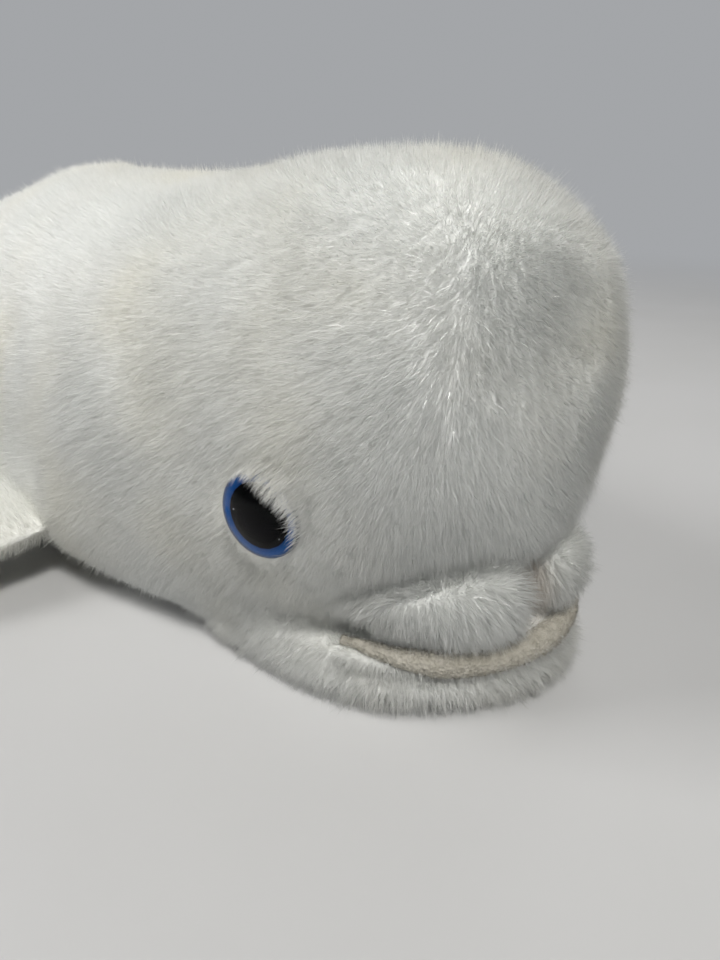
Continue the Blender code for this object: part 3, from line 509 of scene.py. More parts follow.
def blade_points(curve, normals, half_width):
    """Five corners of each blade, and the way its shading faces, near to that of the skin."""
    count = len(curve)
    root, middle, tip = curve.transpose(1, 0, 2)
    ahead = unit(np.stack([middle - root, tip - root, tip - middle], axis=1))
    side = unit(np.cross(ahead, normals[:, None]))
    up = np.cross(side, ahead)
    twist = RNG.normal(0, BLADE_TWIST, count)[:, None, None]
    side = side * np.cos(twist) + up * np.sin(twist)
    half = half_width * RNG.uniform(*WIDTH_SHARES, count)[:, None] * TAPER_SHARES
    wide = half[:, :, None] * side[:, :2]
    edges = np.stack([curve[:, :2] - wide, curve[:, :2] + wide], axis=2)
    points = np.concatenate([edges.reshape(count, 4, 3), curve[:, 2:]], axis=1)
    lift = up.mean(1)
    lift = SHADE_LIFT * lift * np.sign(np.sum(lift * normals, 1, keepdims=True))
    return points, unit(normals + lift + RNG.normal(0, SHADE_JITTER, (count, 3)))


def blade_faces(count):
    """The corners of every blade's quad and then of every tip, and how many each face has."""
    first = 5 * np.arange(count)[:, None]
    corners = [(first + (0, 1, 3, 2)).ravel(), (first + (2, 3, 4)).ravel()]
    return np.concatenate(corners).astype(np.int32), np.repeat((4, 3), count)


def blades(name, curve, normals, half_width, body, material):
    """Fine tapered blades along the middle lines, which ride on a body if one is named."""
    points, shade = blade_points(curve, normals, half_width)
    corners, sizes = blade_faces(len(curve))
    mesh = bpy.data.meshes.new(name)
    mesh.vertices.add(5 * len(curve))
    mesh.vertices.foreach_set("co", points.astype(np.float32).ravel())
    mesh.loops.add(len(corners))
    mesh.loops.foreach_set("vertex_index", corners)
    mesh.polygons.add(len(sizes))
    mesh.polygons.foreach_set("loop_start", (np.cumsum(sizes) - sizes).astype(np.int32))
    mesh.update(calc_edges=True)
    mesh.shade_smooth()
    mesh.normals_split_custom_set_from_vertices(np.repeat(shade, 5, axis=0).astype(np.float32))
    mesh.materials.append(material)
    obj = placed(name, mesh)
    if body:
        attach(obj, body)
    return obj


# Materials


def new_material(name):
    material = bpy.data.materials.new(name)
    material.use_nodes = True
    tree = material.node_tree
    return material, tree, tree.nodes["Principled BSDF"]


def put(made, **inputs):
    """Gives each input a value, or links it to the output of another node."""
    for name, value in inputs.items():
        socket = made.inputs[name.replace("_", " ")]
        if isinstance(value, bpy.types.NodeSocket):
            made.id_data.links.new(value, socket)
        else:
            socket.default_value = value


def node(tree, kind, **inputs):
    made = tree.nodes.new("ShaderNode" + kind)
    put(made, **inputs)
    return made


def object_place(tree):
    return node(tree, "TexCoord").outputs["Object"]


def noise(tree, scale, detail=2.0):
    return node(tree, "TexNoise", Scale=scale, Detail=detail, Vector=object_place(tree)).outputs["Fac"]


def ramp(tree, factor, *stops):
    made = node(tree, "ValToRGB")
    elements = made.color_ramp.elements
    while len(elements) < len(stops):
        elements.new(0.5)
    for element, (place, colour) in zip(elements, stops):
        element.position = place
        element.color = (*colour, 1.0)
    put(made, Fac=factor)
    return made.outputs["Color"]


def mixed(tree, factor, a, b, blend="MIX"):
    made = node(tree, "Mix")
    made.data_type = "RGBA"
    made.blend_type = blend
    for socket, value in (("Factor_Float", factor), ("A_Color", a), ("B_Color", b)):
        target = next(s for s in made.inputs if s.identifier == socket)
        if isinstance(value, (tuple, float)):
            target.default_value = (*value, 1.0) if isinstance(value, tuple) else value
        else:
            tree.links.new(value, target)
    return next(s for s in made.outputs if s.identifier == "Result_Color")


def cells(tree, scale):
    return node(tree, "TexVoronoi", Scale=scale, Vector=object_place(tree)).outputs["Distance"]


def bump(tree, height, strength, distance):
    return node(tree, "Bump", Strength=strength, Distance=distance, Height=height).outputs["Normal"]


def vector_math(tree, operation, vector, other=(0.0, 0.0, 0.0)):
    """A new vector for MULTIPLY, or else one value."""
    made = node(tree, "VectorMath")
    made.operation = operation
    made.inputs[1].default_value = other
    tree.links.new(vector, made.inputs[0])
    return made.outputs["Vector" if operation == "MULTIPLY" else "Value"]


def eased(tree, value, start, end):
    """0 at start and 1 at end, with a smooth rise between."""
    made = node(tree, "MapRange", Value=value, From_Min=start, From_Max=end)
    made.interpolation_type = "SMOOTHSTEP"
    return made.outputs["Result"]


def mixed_surface(tree, factor, first, second, output="Material Output"):
    """The first shader where factor is 0 and the second where it is 1."""
    mix = node(tree, "MixShader", Fac=factor)
    tree.links.new(first.outputs[0], mix.inputs[1])
    tree.links.new(second.outputs[0], mix.inputs[2])
    put(tree.nodes[output], Surface=mix.outputs["Shader"])


def white_of_fur(tree):
    """White with faint warm and cool patches, and a painted brownish shade in the lips' middle groove.
    """
    white = ramp(
        tree,
        noise(tree, 26.0, 1.0),
        (0.36, (0.938, 0.948, 0.935)),
        (0.52, (0.95, 0.955, 0.935)),
        (0.74, (0.96, 0.953, 0.90)),
    )
    grain = ramp(tree, noise(tree, 900.0), (0.30, (0.90, 0.90, 0.89)), (0.65, WHITE))
    white = mixed(tree, 1.0, white, grain, "MULTIPLY")
    # painted shade: the white turns brownish and darker round the lips' middle groove, where shade falls
    far = vector_math(tree, "DISTANCE", object_place(tree), (NOSE_X - 0.012, 0.0, 0.020))
    painted_groove_shade = eased(tree, far, 0.013, 0.003)
    return mixed(tree, painted_groove_shade, white, (0.72, 0.62, 0.52))


def fur_skin_material():
    material, tree, shader = new_material("fur_backing")
    put(shader, Base_Color=white_of_fur(tree), Roughness=0.95)
    put(shader, Normal=bump(tree, noise(tree, 1100.0, 4.0), 0.5, 0.0004))
    return material


def pile_material(name, colour_of, through=0.40, roughness=0.19):
    """Glossy blades that let this share of the light through."""
    material, tree, shader = new_material(name)
    colour = colour_of(tree)
    put(shader, Base_Color=colour, Roughness=roughness, Specular_IOR_Level=0.8)
    mixed_surface(tree, through, shader, node(tree, "BsdfTranslucent", Color=colour))
    return material


def cream_of_lining(tree):
    return ramp(tree, noise(tree, 420.0, 3.0), (0.30, (0.41, 0.385, 0.325)), (0.70, (0.56, 0.53, 0.465)))


def lining_material():
    material, tree, shader = new_material("lining")
    put(shader, Base_Color=cream_of_lining(tree), Roughness=0.9)
    put(shader, Normal=bump(tree, cells(tree, 1400.0), 0.8, 0.0005))
    return material


def uneven_gloss(tree, low, high, scale, detail):
    """A roughness that wavers between two values."""
    grain = noise(tree, scale, detail)
    return node(tree, "MapRange", Value=grain, To_Min=low, To_Max=high).outputs["Result"]


def clear_material():
    material, tree, shader = new_material("eye_clear")
    put(shader, Base_Color=(0.98, 0.99, 1.0, 1.0), Transmission_Weight=1.0, IOR=1.22)
    put(shader, Specular_IOR_Level=0.2, Roughness=uneven_gloss(tree, 0.008, 0.035, 500.0, 3.0))
    return material


def from_axis(tree):
    """Distance from the eye's own axis, as a share of the eye's radius."""
    shares = (1 / EYE_RADIUS, 1 / EYE_RADIUS, 0.0)
    return vector_math(tree, "LENGTH", vector_math(tree, "MULTIPLY", object_place(tree), shares))


def iris_material():
    material, tree, shader = new_material("iris")
    blue = ramp(
        tree,
        from_axis(tree),
        (0.57, (0.001, 0.006, 0.03)),
        (0.66, (0.0005, 0.050, 0.23)),
        (0.82, (0.0005, 0.110, 0.43)),
        (0.95, (0.0005, 0.012, 0.045)),
    )
    mottle = ramp(tree, noise(tree, 900.0, 3.0), (0.3, (0.80, 0.84, 0.88)), (0.7, WHITE))
    blue = mixed(tree, 1.0, blue, mottle, "MULTIPLY")
    put(shader, Base_Color=blue, Roughness=0.30, Specular_IOR_Level=0.1)
    return material


def washer_material():
    material, tree, shader = new_material("washer")
    grey = ramp(tree, noise(tree, 300.0, 3.0), (0.3, (0.48, 0.48, 0.47)), (0.7, (0.60, 0.60, 0.59)))
    put(shader, Base_Color=grey, Roughness=uneven_gloss(tree, 0.35, 0.65, 700.0, 2.0))
    return material


def pupil_material():
    """Deep black with a few specks of lint."""
    material, tree, shader = new_material("eye_black")
    grain = noise(tree, 300.0, 3.0)
    black = ramp(tree, grain, (0.3, (0.0008, 0.0008, 0.001)), (0.7, (0.002, 0.002, 0.0025)))
    speck = ramp(tree, cells(tree, 420.0), (0.05, WHITE), (0.09, BLACK))
    rare = ramp(tree, noise(tree, 260.0, 0.0), (0.50, BLACK), (0.54, WHITE))
    lint = mixed(tree, 1.0, speck, rare, "MULTIPLY")
    black = mixed(tree, lint, black, (0.55, 0.58, 0.62))
    put(shader, Base_Color=black, Roughness=0.30, Specular_IOR_Level=0.0)
    return material


BACKING = fur_skin_material()
WHITE_PILE = pile_material("white_pile", white_of_fur)
CREAM_PILE = pile_material("cream_pile", cream_of_lining, through=0.25, roughness=0.6)

# Places read from the frame


def joint_of(name):
    return next(j for j in frame["joints"] if j["name"] == name)


def flipper_root(name):
    """The ends of the line along which a flipper is sewn on."""
    joint = joint_of(f"flipper_{name}_fold")
    reach = np.array(joint["axis"]) * SHOULDER_HALF_LENGTH
    return np.array(joint["pos_m"]) + np.array([-reach, reach])


def eye_places():
    """Each eye's place: its seat's middle, with Z pointing out of the head, from the iris ring."""
    places = {}
    for side, name in SIDES:
        ring = vectors(frame["nodes"]["iris_" + name].data.vertices, "co")
        middle = ring.mean(0)
        out = np.linalg.svd(ring - middle)[2][2]
        out = out * (1 if out[1] * side > 0 else -1)
        heights = (ring - middle) @ out
        seat = middle + out * (heights.min() - SEAT_BEHIND_RING)
        turn = Vector(out).to_track_quat("Z", "Y").to_matrix().to_4x4()
        places[name] = Matrix.Translation(Vector(seat)) @ turn
    return places


EYES = eye_places()
FLIPPER_ROOTS = [flipper_root("right"), flipper_root("left")]

# Body skin


def eye_view(points, name):
    """Distance from an eye's axis, height over its seat, and how far towards its brow, from -1 to 1."""
    place = np.array(EYES[name])
    local = (points - place[:3, 3]) @ place[:3, :3]
    ways = unit(local * (1, 1, 0)) @ place[:3, :3].T
    return np.hypot(local[..., 0], local[..., 1]), local[..., 2], ways @ unit(BROW_WAY)


def eye_seats(points):
    """Presses the skin in behind each eye, so that the eye sits in it."""
    for name in EYES:
        far, height, _ = eye_view(points, name)
        press = (far < EYE_RADIUS + SEAT_MARGIN) & (np.abs(height) < SEAT_SEARCH)
        drop = np.where(press, np.minimum(-SEAT_DEPTH - height, 0.0), 0.0)
        points = points + drop[:, None] * np.array(EYES[name])[:3, 2]
    return points


def from_line(points, line):
    """Each point's distance from a line of straight pieces."""
    near = np.full(len(points), np.inf)
    for a, b in zip(line, line[1:]):
        way = b - a
        share = np.clip((points - a) @ way / (way @ way), 0, 1)
        near = np.minimum(near, np.linalg.norm(points - a - share[:, None] * way, axis=1))
    return near


BODY_SHELLS = {
    "body": body_shell(),
    "ridge": ridge_shell(),
    "jaw": jaw_shell(),
    "lip_right": lip_shell(-1),
    "lip_left": lip_shell(1),
}
TREES = {
    name: BVHTree.FromPolygons([Vector(v) for v in points], faces)
    for name, (points, faces) in BODY_SHELLS.items()
}
ROLL_GROOVE = round_the_mouth(
    np.linspace(-LINING_SWEEP, LINING_SWEEP, 24),
    LINING_REACH + ROLL_GROOVE_SET_OFF,
    LINING_HALF_WIDTH + ROLL_GROOVE_SET_OFF,
    ROLL_GROOVE_HEIGHT,
)[0]


def at_mouth(points, top):
    """The indices of the points at the mouth, up to this height."""
    return np.flatnonzero((points[:, 0] > MOUTH_BACK) & (points[:, 2] < top))


def near_crease(points, other, reach):
    """1 along the crease between the body and another form, falling off over this reach."""
    share = np.zeros(len(points))
    for i in at_mouth(points, CREASE_TOP):
        p = Vector(points[i])
        gap = max(TREES["body"].find_nearest(p)[3], TREES[other].find_nearest(p)[3])
        share[i] = math.exp(-((gap / reach) ** 2))
    return share


def hump(distance, reach):
    """1 at no distance, falling off over this reach."""
    return np.exp(-((distance / reach) ** 2))


def mouth_forms(p):
    """The filled seam of the jaw, and the creases over each lip and along the roll."""
    fade = step_up(*LIP_CREASE_FADE, p[:, 2])
    return [
        JAW_SEAM_FILL * step_up(*JAW_SEAM_FADE, p[:, 0]) * near_crease(p, "jaw", JAW_SEAM_REACH),
        -LIP_CREASE_DEPTH * near_crease(p, "lip_right", LIP_CREASE_REACH) * fade,
        -LIP_CREASE_DEPTH * near_crease(p, "lip_left", LIP_CREASE_REACH) * fade,
        -ROLL_GROOVE_DEPTH * hump(from_line(p, ROLL_GROOVE), ROLL_GROOVE_REACH),
    ]


def stuffed(p):
    """How far the stuffed skin stands out from its even form."""
    x, height = p[:, 0], p[:, 2]
    lumps = (LUMP_RISE + HEAD_LUMP_RISE * (x > NECK_X)) * waves(p, LUMP_SIZE, 1)
    lumps = lumps + RIPPLE_RISE * waves(p, RIPPLE_SIZE, 2)
    neck = hump(x - NECK_X + NECK_CREASE_SET_OFF, NECK_CREASE_REACH)
    neck = neck * step_up(*NECK_CREASE_FADE, height)
    fold = np.exp(-from_line(p, np.array(MELON_FOLD)) / MELON_FOLD_REACH)
    mirrored = p * (1, 0, 1) + np.abs(p) * (0, 1, 0)
    sides = [np.linalg.norm(mirrored - place, axis=1) for place in MELON_SIDES]
    forms = [(lumps - FUR_DEPTH) * step_up(0.001, 0.01, height)]
    forms += [-NECK_CREASE_DEPTH * neck, MELON_FOLD_RISE * fold]
    forms += [-MELON_SLACK * hump(far, MELON_SLACK_REACH) for far in sides]
    forms += mouth_forms(p)
    forms += [SHOULDER_RISE * hump(from_line(p, root), SHOULDER_REACH) for root in FLIPPER_ROOTS]
    return sum(forms)


body_skin = skin("body_skin", list(BODY_SHELLS.values()), VOXEL, 3, stuffed, eye_seats)
body_skin.data.materials.append(BACKING)
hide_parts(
    *("crown_panel", "cheek_panel_right", "cheek_panel_left", "throat_panel", "belly_panel"),
    *("trunk_side_right", "trunk_side_left", "dorsal_ridge", "lower_jaw", "upper_lip_right"),
    *("upper_lip_left", "head_filling", "trunk_filling", "tail_skin", "tail_filling"),
)
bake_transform(body_skin)

# Body pile


def labels_of(points):
    """Whether each point of the body's skin lies on the body, the jaw or a lip."""
    label = np.full(len(points), BODY)
    for i in at_mouth(points, LABEL_TOP):
        p = Vector(points[i])
        gaps = [TREES[k].find_nearest(p)[3] for k in ("body", "jaw", "lip_right", "lip_left")]
        label[i] = (BODY, JAW, LIP, LIP)[int(np.argmin(gaps))]
    return label


def over_the_eyes(curve):
    """Lifts blades clear of the domes."""
    for name in EYES:
        far, height, _ = eye_view(curve, name)
        share = np.clip(far / (EYE_RADIUS + EYE_CLEARANCE), 0, 1)
        dome = EYE_RIM + (EYE_RISE - EYE_RIM) * np.sqrt(1 - share**2) + DOME_CLEARANCE
        over = (far < EYE_RADIUS + EYE_CLEARANCE) & (height > -BEHIND_SEAT)
        lift = np.where(over, np.maximum(dome - height, 0), 0)
        curve = curve + lift[..., None] * np.array(EYES[name])[:3, 2]
    return curve


def off_the_eyes(points):
    """Which points lie outside the eyes' rims."""
    off = np.full(len(points), True)
    for name in EYES:
        far, height, _ = eye_view(points, name)
        off &= (far > EYE_RADIUS + EYE_CLEARANCE) | (np.abs(height) > EYE_SEARCH)
    return off


def body_weight(p, n):
    """Denser on the head, most at the brows, and none where the pile would be hidden."""
    x, height = p[:, 0], p[:, 2]
    dense = TRUNK_WEIGHT + HEAD_WEIGHT * step_up(0.085, 0.115, x)
    dense = dense + MOUTH_WEIGHT * ((x > 0.15) & (height < 0.035))
    for name in EYES:
        far, over_seat, above = eye_view(p, name)
        brow = (np.abs(over_seat) < EYE_NEAR) * step_up(0.014, 0.010, far) * step_up(-0.3, 0.3, above)
        dense = dense + BROW_WEIGHT * brow
    under = (height < 0.0008) | ((height < 0.003) & (n[:, 2] < -0.75))
    return dense * ~(under | (x < TAIL_SPLIT_X + SPLIT_LAP))


def body_nap(points, normals, label):
    """The way the fur lies: down on the head, back on the trunk, and out and down at the mouth."""
    x, y, _ = points.T
    sideways = step_up(0.25, 0.80, np.abs(normals[:, 1]))
    back, swirl, down = HEAD_NAP
    nap = np.stack([back - SIDE_SWEEP * sideways, swirl * waves(points, 0.030, 5), 0 * x + down], 1)
    nap[x < NECK_X] = TRUNK_NAP
    nap[:, 0] += NAP_WAVE * waves(points, 0.024, 6)
    fan = points - LIP_MIDDLE * np.stack([np.ones(len(x)), np.sign(y), np.ones(len(x))], 1)
    nap[label == LIP] = (unit(fan) + LIP_NAP)[label == LIP]
    out = points - (MOUTH_X, 0.0, 0.0)
    out[:, 2] = 0
    nap[label == JAW] = (JAW_FAN * unit(out) + JAW_NAP)[label == JAW]
    return nap


def body_length(points, label):
    """Longer on the mouth and over it, and shorter along the roll."""
    x, _, z = points.T
    jitter = LENGTH_JITTER * RNG.normal(size=len(points))
    length = PILE * (1 + jitter + LENGTH_WAVE * waves(points, 0.020, 8))
    length[label == LIP] *= LIP_PILE / PILE
    length[label == JAW] *= JAW_PILE / PILE
    length *= 1 - JAW_EDGE_TRIM * (label == JAW) * step_up(0.0095, 0.0125, z)
    overhang = (label == BODY) * step_up(0.185, 0.197, x) * step_up(0.050, 0.038, z)
    length *= 1 + OVERHANG_GROWTH * overhang
    length *= 1 - LIP_EDGE_TRIM * (label == LIP) * step_up(0.0205, 0.0165, z)
    return length


def round_the_eyes(points, nap, length, lean):
    """Combs the pile from each eye to its brow, short round the eye, with a fringe on its rim."""
    for name in EYES:
        far, height, above = eye_view(points, name)
        here = (np.abs(height) < EYE_NEAR) * step_up(0.016, 0.010, far)
        fringe = here * step_up(0.15, 0.35, above) * step_up(0.0125, 0.0105, far)
        reach = far + EYE_RADIUS * (above - 1.66) + 0.0012
        reach = reach * RNG.uniform(*FRINGE_LENGTHS, len(points))
        length = length * (1 - here * np.where(above > 0, FRINGE_TRIM, -EYE_TRIM * above))
        length = np.where(fringe > 0.5, np.maximum(length, reach), length)
        lean = lean + here * EYE_LEAN
        nap = nap - (here * step_up(0, 0.4, above))[:, None] * BROW_WAY * COMB_STRENGTH
    return nap, length, lean


def body_groups(points, label):
    """The pieces of the body's pile, by name, and which blades belong to each."""
    x, y, _ = points.T
    neck, tail = NECK_X - 0.002, TAIL_SEAM_X + 0.020
    head = (label == BODY) & (x > neck)
    trunk = (x <= neck) & (x > tail)
    return {
        "pile_mouth": label != BODY,
        "pile_crown": head & (np.abs(y) < CROWN_HALF_WIDTH),
        "pile_cheek_right": head & (y <= -CROWN_HALF_WIDTH),
        "pile_cheek_left": head & (y >= CROWN_HALF_WIDTH),
        "pile_trunk_right": trunk & (y <= 0),
        "pile_trunk_left": trunk & (y > 0),
        "pile_tail": x <= tail,
    }


def body_curves():
    """Roots, normals and middle lines of the body's blades, and the label of each."""
    roots, normals = scatter(body_skin, BODY_BLADES // FEWER, body_weight)
    kept = off_the_eyes(roots)
    roots, normals = roots[kept], normals[kept]
    label, count = labels_of(roots), len(roots)
    nap = body_nap(roots, normals, label)
    swept = np.linalg.norm(laid_flat(nap, normals), axis=1)
    length = body_length(roots, label)
    lean = FLAT_LEAN + SWEPT_LEAN * step_up(0.05, 0.75, swept)
    lean[label != BODY] = MOUTH_LEAN
    nap, length, lean = round_the_eyes(roots, nap, length, lean)
    fuzz = RNG.uniform(size=count) < FUZZ_SHARE
    lean = np.where(fuzz, lean * FUZZ_LEAN, lean) + RNG.normal(0, LEAN_JITTER, count)
    length = np.where(fuzz, length * RNG.uniform(*FUZZ_LENGTHS, count), length)
    lean, length = lean.clip(0.05, 0.93), length.clip(SHORTEST_PILE, LONGEST_PILE)
    bend = BLADE_BEND * step_up(0.05, 0.60, swept)
    sway = BLADE_SWAY + WHORL_SWAY * step_up(0.80, 0.15, swept)[:, None]
    return roots, normals, over_the_eyes(groom(roots, normals, nap, length, lean, bend, sway)), label


def body_pile():
    roots, normals, curve, label = body_curves()
    x = roots[:, 0]
    width = BODY_HALF_WIDTH * (1 + REAR_WIDENING * step_up(0.115, 0.075, x))[:, None]
    for name, part in body_groups(roots, label).items():
        rows = np.flatnonzero(part)
        rows = rows[np.argsort(x[rows])]
        body = None if name == "pile_tail" else "body"
        bands = np.array_split(rows, math.ceil(len(rows) * FEWER / MOST_BLADES))
        for k, band in enumerate(bands, 1):
            piece = blades(f"{name}_{k}", curve[band], normals[band], width[band], body, WHITE_PILE)
            if body is None:
                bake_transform(piece)


body_pile()

# Rear of the tail with the flukes


def rear_shells():
    start = (TAIL_SEAM_X - TAIL_SPLIT_X - REAR_LAP) / TAIL_LENGTH
    rings = tail_rings(np.linspace(start, 1.0, 24), 120)
    middle = rings.mean(1, keepdims=True)
    ends = rings[:1] * 0.98 + middle[:1] * 0.02
    past = rings[-1:] - (0.006, 0, 0)
    tail = shell(np.concatenate([ends, rings[1:], past])[::-1])
    root = (FLUKE_SEAM_X, 0, FLUKE_HEIGHT), (1, 0, 0), (0, 1, 0), (0, 0, 1)
    size = (FLUKE_CHORD, FLUKE_SPAN / 2, FLUKE_THICKNESS)
    return [tail, leaf_shell(root, size, FLUKE_SHARES, 34, both=True)]


rear_skin = skin("rear_skin", rear_shells(), VOXEL, 4, lambda p: np.full(len(p), -FUR_DEPTH))
rear_skin.data.materials.append(BACKING)
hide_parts("fluke_panel_top", "fluke_panel_bottom", "fluke_filling")
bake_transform(rear_skin)


def short_pile(name, obj, count, weight, nap_of, body):
    """The shorter pile of the fins, with the way it lies given by nap_of."""
    roots, normals = scatter(obj, count, weight)
    nap = nap_of(roots) + 0.2 * np.stack([waves(roots, 0.02, s) for s in (21, 22, 23)], 1)
    length = SHORN_PILE * (1 + 0.15 * RNG.normal(size=count)).clip(0.4, 1.6)
    lean = np.where(RNG.uniform(size=count) < FUZZ_SHARE, SHORN_FUZZ_LEAN, SHORN_LEAN)
    curve = groom(roots, normals, nap, length, lean)
    return blades(name, curve, normals, SHORN_HALF_WIDTH, body, WHITE_PILE)


def rear_nap(points):
    """Back along the tail, and out towards the tips on the flukes."""
    out = 0.5 * np.sign(points[:, 1]) * (points[:, 0] < FLUKE_SEAM_X)
    return np.stack([-np.ones(len(points)), out, 0 * out], 1)


rear_pile = short_pile(
    "pile_flukes",
    rear_skin,
    REAR_BLADES // FEWER,
    lambda p, n: 1.0 * (p[:, 0] < TAIL_SPLIT_X + 0.001),
    rear_nap,
    None,
)
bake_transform(rear_pile)

# Flippers


def flipper_ways(joint, side):
    """Along the root, out along the flipper and up from it."""
    along = np.array(joint["axis"]) * side
    level = np.array((-along[1], along[0], 0.0)) * side
    down = np.array((0, 0, -1.0))
    span = unit(level * math.cos(FLIPPER_DROOP) + down * math.sin(FLIPPER_DROOP))
    return along, span, np.cross(along, span) * side


def make_flipper(side, name):
    body = "flipper_" + name
    joint = joint_of(body + "_fold")
    along, span, up = flipper_ways(joint, side)
    middle = np.array(joint["pos_m"]) - span * FLIPPER_ROOT_LAP
    size = (FLIPPER_ROOT_CHORD, FLIPPER_SPAN, FLIPPER_THICKNESS)
    rows = ((-0.06, 0.47, -0.47, 0.5), (0.0, 0.50, -0.50, 0.62), *FLIPPER_SHARES[2:])
    form = leaf_shell((middle, along, span, up), size, rows, 40)
    sink = 0.6 * FUR_DEPTH
    piece = skin(body + "_skin", [form], VOXEL * 0.9, 4, lambda p: np.full(len(p), -sink))
    piece.data.materials.append(BACKING)
    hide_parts(body + "_panel_top", body + "_panel_bottom", body + "_filling")
    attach(piece, body)
    short_pile(
        "pile_" + body,
        piece,
        FLIPPER_BLADES // FEWER,
        lambda p, n: np.ones(len(p)),
        lambda p: np.tile(0.9 * span - 0.5 * along, (len(p), 1)),
        body,
    )


for side, name in SIDES:
    make_flipper(side, name)

# Lip roll


def lining_form():
    """The roll: pressed down in its middle, and thinner and drawn in at its ends."""
    share = np.linspace(-1.0, 1.0, ROLL_RINGS)
    angle = share * LINING_SWEEP
    end = step_up(0.55, 1.0, np.abs(share))
    radius = (LINING_RADIUS + 0.0001) * (1 - ROLL_TAPER * end)
    reach, half_width = LINING_REACH + ROLL_SET_OFF, LINING_HALF_WIDTH + ROLL_SET_OFF
    path, out = round_the_mouth(angle, reach, half_width, LINING_HEIGHT)
    path = path - ROLL_DRAWN_IN * end[:, None] * out
    path[:, 2] -= 0.0012 + 0.0018 * np.cos(angle / LINING_SWEEP * math.pi / 2)
    points, faces = shell(roll_rings(path, out, radius, radius, ROLL_SIDES))
    middle = path[np.minimum(np.arange(len(points)) // ROLL_SIDES, ROLL_RINGS - 1)]
    uneven = 0.00008 * waves(points, 0.0016, 31) + 0.00012 * waves(points, 0.008, 32)
    return points + unit(points - middle) * uneven[:, None], faces


def make_lining():
    piece = plain_object("lip_roll", *lining_form())
    face_out(piece)
    piece.data.shade_smooth()
    piece.data.materials.append(lining_material())
    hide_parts("mouth_lining")
    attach(piece, "body")
    count = LINING_BLADES // FEWER
    roots, normals = scatter(piece, count, lambda p, n: np.ones(len(p)))
    nap = RNG.normal(size=(count, 3))
    length, lean = np.full(count, LINING_PILE), np.full(count, LINING_LEAN)
    curve = groom(roots, normals, nap, length, lean, sway=LINING_SWAY)
    pile = blades("pile_lip_roll", curve, normals, HALF_WIDTH, "body", CREAM_PILE)


make_lining()

# Eyes


def turned(name, profile):
    """A lathe form about its own Z axis from (radius, height) points, which starts and ends on it."""
    angle = full_turn(72)
    circle = np.stack([np.cos(angle), np.sin(angle), 0 * angle], axis=1)
    up = np.array((0.0, 0.0, 1.0))
    rings = [r * circle + h * up for r, h in profile[1:-1]]
    obj = plain_object(name, *shell(rings, profile[0][1] * up, profile[-1][1] * up))
    face_out(obj)
    obj.data.shade_smooth()
    return obj


def dome_crown():
    lean = np.linspace(0.0, math.pi / 2, 25)[:-1]
    return [(EYE_RADIUS * math.cos(a), EYE_RIM + (EYE_RISE - EYE_RIM) * math.sin(a)) for a in lean]


def dress(piece, material, name, replaced=None):
    """Puts one of an eye's lathe forms in its place."""
    piece.data.materials.append(material)
    if replaced:
        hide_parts(replaced)
    piece.matrix_world = EYES[name]
    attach(piece, "body")


def make_eye(name):
    dress(turned("dome_" + name, DOME_PROFILE), CLEAR, name, "eye_dome_" + name)
    dress(turned("iris_ring_" + name, RING_PROFILE), IRIS, name, "iris_" + name)
    dress(turned("pupil_" + name, PUPIL_PROFILE), PUPIL, name)
    for label, material in (("eye_stem_", PUPIL), ("eye_washer_", WASHER)):
        carried = frame["nodes"][label + name]
        carried.data.materials.clear()
        carried.data.materials.append(material)


CLEAR, IRIS = clear_material(), iris_material()
PUPIL, WASHER = pupil_material(), washer_material()
DOME_BACK = 0.0001
DOME_PROFILE = [(0, DOME_BACK), (EYE_RADIUS, DOME_BACK), *dome_crown(), (0, EYE_RISE)]
RING = EYE_RADIUS - 0.0005
RING_PROFILE = [(0, 0.0002), (RING, 0.0002), (RING, 0.0010), (PUPIL_RADIUS, 0.0007), (0, 0.0007)]
PUPIL_PROFILE = [
    *((0, 0.0003), (PUPIL_RADIUS - 0.0001, 0.0003), (PUPIL_RADIUS, 0.0013)),
    *((PUPIL_RADIUS - 0.0002, 0.0015), (0, 0.0016)),
]
for name in EYES:
    make_eye(name)

# Table, light and camera


def from_camera(right, ahead, up):
    """The point this far right of, ahead of and above the camera's foot."""
    dx, dy = right - CAMERA_SET_OFF[0], ahead - CAMERA_SET_OFF[1]
    c, s = math.cos(AZIMUTH), math.sin(AZIMUTH)
    return Vector((c * dx - s * dy, s * dx + c * dy, up))


BACKDROP, SKY_STRENGTH = (0.37, 0.38, 0.395, 1.0), 0.14


def towards_right(tree, start, end, place):
    """How far a place lies to the camera's right, as 0 at start to 1 at end."""
    right = (from_camera(1, 0, 0) - from_camera(0, 0, 0)).normalized()
    return eased(tree, vector_math(tree, "DOT_PRODUCT", place, right), start, end)


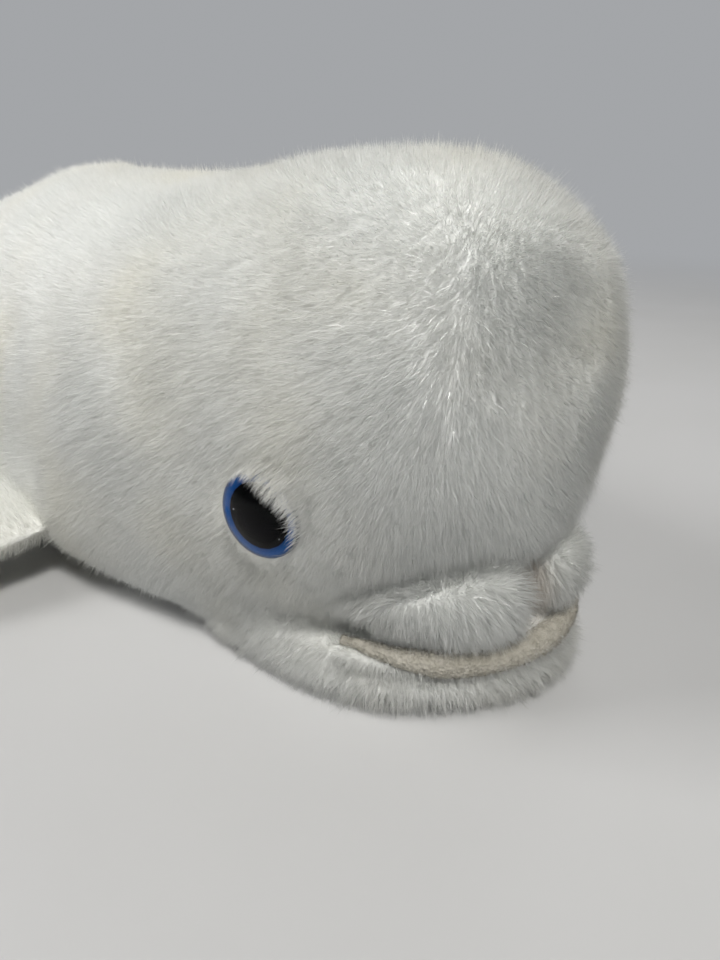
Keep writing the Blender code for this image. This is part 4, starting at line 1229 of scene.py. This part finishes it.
def make_table():
    """A pale table that fades into the backdrop's grey."""
    reach = 6.0
    corners = [(-reach, -reach, 0), (reach, -reach, 0), (reach, reach, 0), (-reach, reach, 0)]
    table = plain_object("table", corners, [(0, 1, 2, 3)])
    material, tree, shader = new_material("table")
    tone = ramp(tree, noise(tree, 9.0, 3.0), (0.3, (0.58, 0.58, 0.58)), (0.7, (0.61, 0.61, 0.615)))
    put(shader, Base_Color=tone, Roughness=0.45)
    fade = eased(tree, vector_math(tree, "LENGTH", object_place(tree)), 0.32, 1.1)
    mixed_surface(tree, fade, shader, node(tree, "Emission", Color=BACKDROP))
    table.data.materials.append(material)


def make_world():
    """Pale light, weaker from the right, and a grey where the camera looks past the table."""
    world = bpy.data.worlds.new("studio")
    SCENE.world = world
    world.use_nodes = True
    tree = world.node_tree
    light = tree.nodes["Background"]
    shade = towards_right(tree, -0.8, 0.8, node(tree, "TexCoord").outputs["Generated"])
    sky = mixed(tree, shade, (0.94, 0.97, 1.0), (0.20, 0.21, 0.225))
    put(light, Color=sky, Strength=SKY_STRENGTH)
    seen = node(tree, "Background", Color=BACKDROP)
    mixed_surface(tree, node(tree, "LightPath").outputs["Is Camera Ray"], light, seen, "World Output")


def aimed(obj, at, look):
    obj.location = at
    obj.rotation_mode = "QUATERNION"
    obj.rotation_quaternion = look.to_track_quat("-Z", "Y")


def lamp(name, at, aim, size, watts, colour):
    data = bpy.data.lights.new(name, "AREA")
    data.energy, data.size, data.color = watts, size, colour
    aimed(placed(name, data), at, aim - at)


def make_camera():
    data = bpy.data.cameras.new("camera")
    data.lens, data.sensor_width, data.clip_start = LENS_MM, 36.0, 0.005
    camera = placed("camera", data)
    level = from_camera(0, 1, 0) - from_camera(0, 0, 0)
    look = level * math.cos(CAMERA_PITCH) - Vector((0, 0, math.sin(CAMERA_PITCH)))
    aimed(camera, from_camera(0, 0, CAMERA_HEIGHT), look)
    SCENE.camera = camera


make_table()
make_world()
HEAD_AT = from_camera(0.01, 0.19, 0.05)
TRUNK_AT = from_camera(-0.08, 0.26, 0.04)
lamp("key", from_camera(0.22, -0.62, 1.22), HEAD_AT, size=0.26, watts=14.4, colour=(1.0, 0.985, 0.95))
lamp("side", from_camera(-1.05, 0.15, 1.00), HEAD_AT, size=0.60, watts=8.5, colour=(1.0, 0.99, 0.97))
lamp("back", from_camera(0.30, 1.35, 0.80), TRUNK_AT, size=1.0, watts=3.2, colour=WHITE)
make_camera()
SCENE.cycles.max_bounces = 20
SCENE.cycles.diffuse_bounces = 12
SCENE.cycles.transmission_bounces = 12
SCENE.view_settings.view_transform = "Standard"
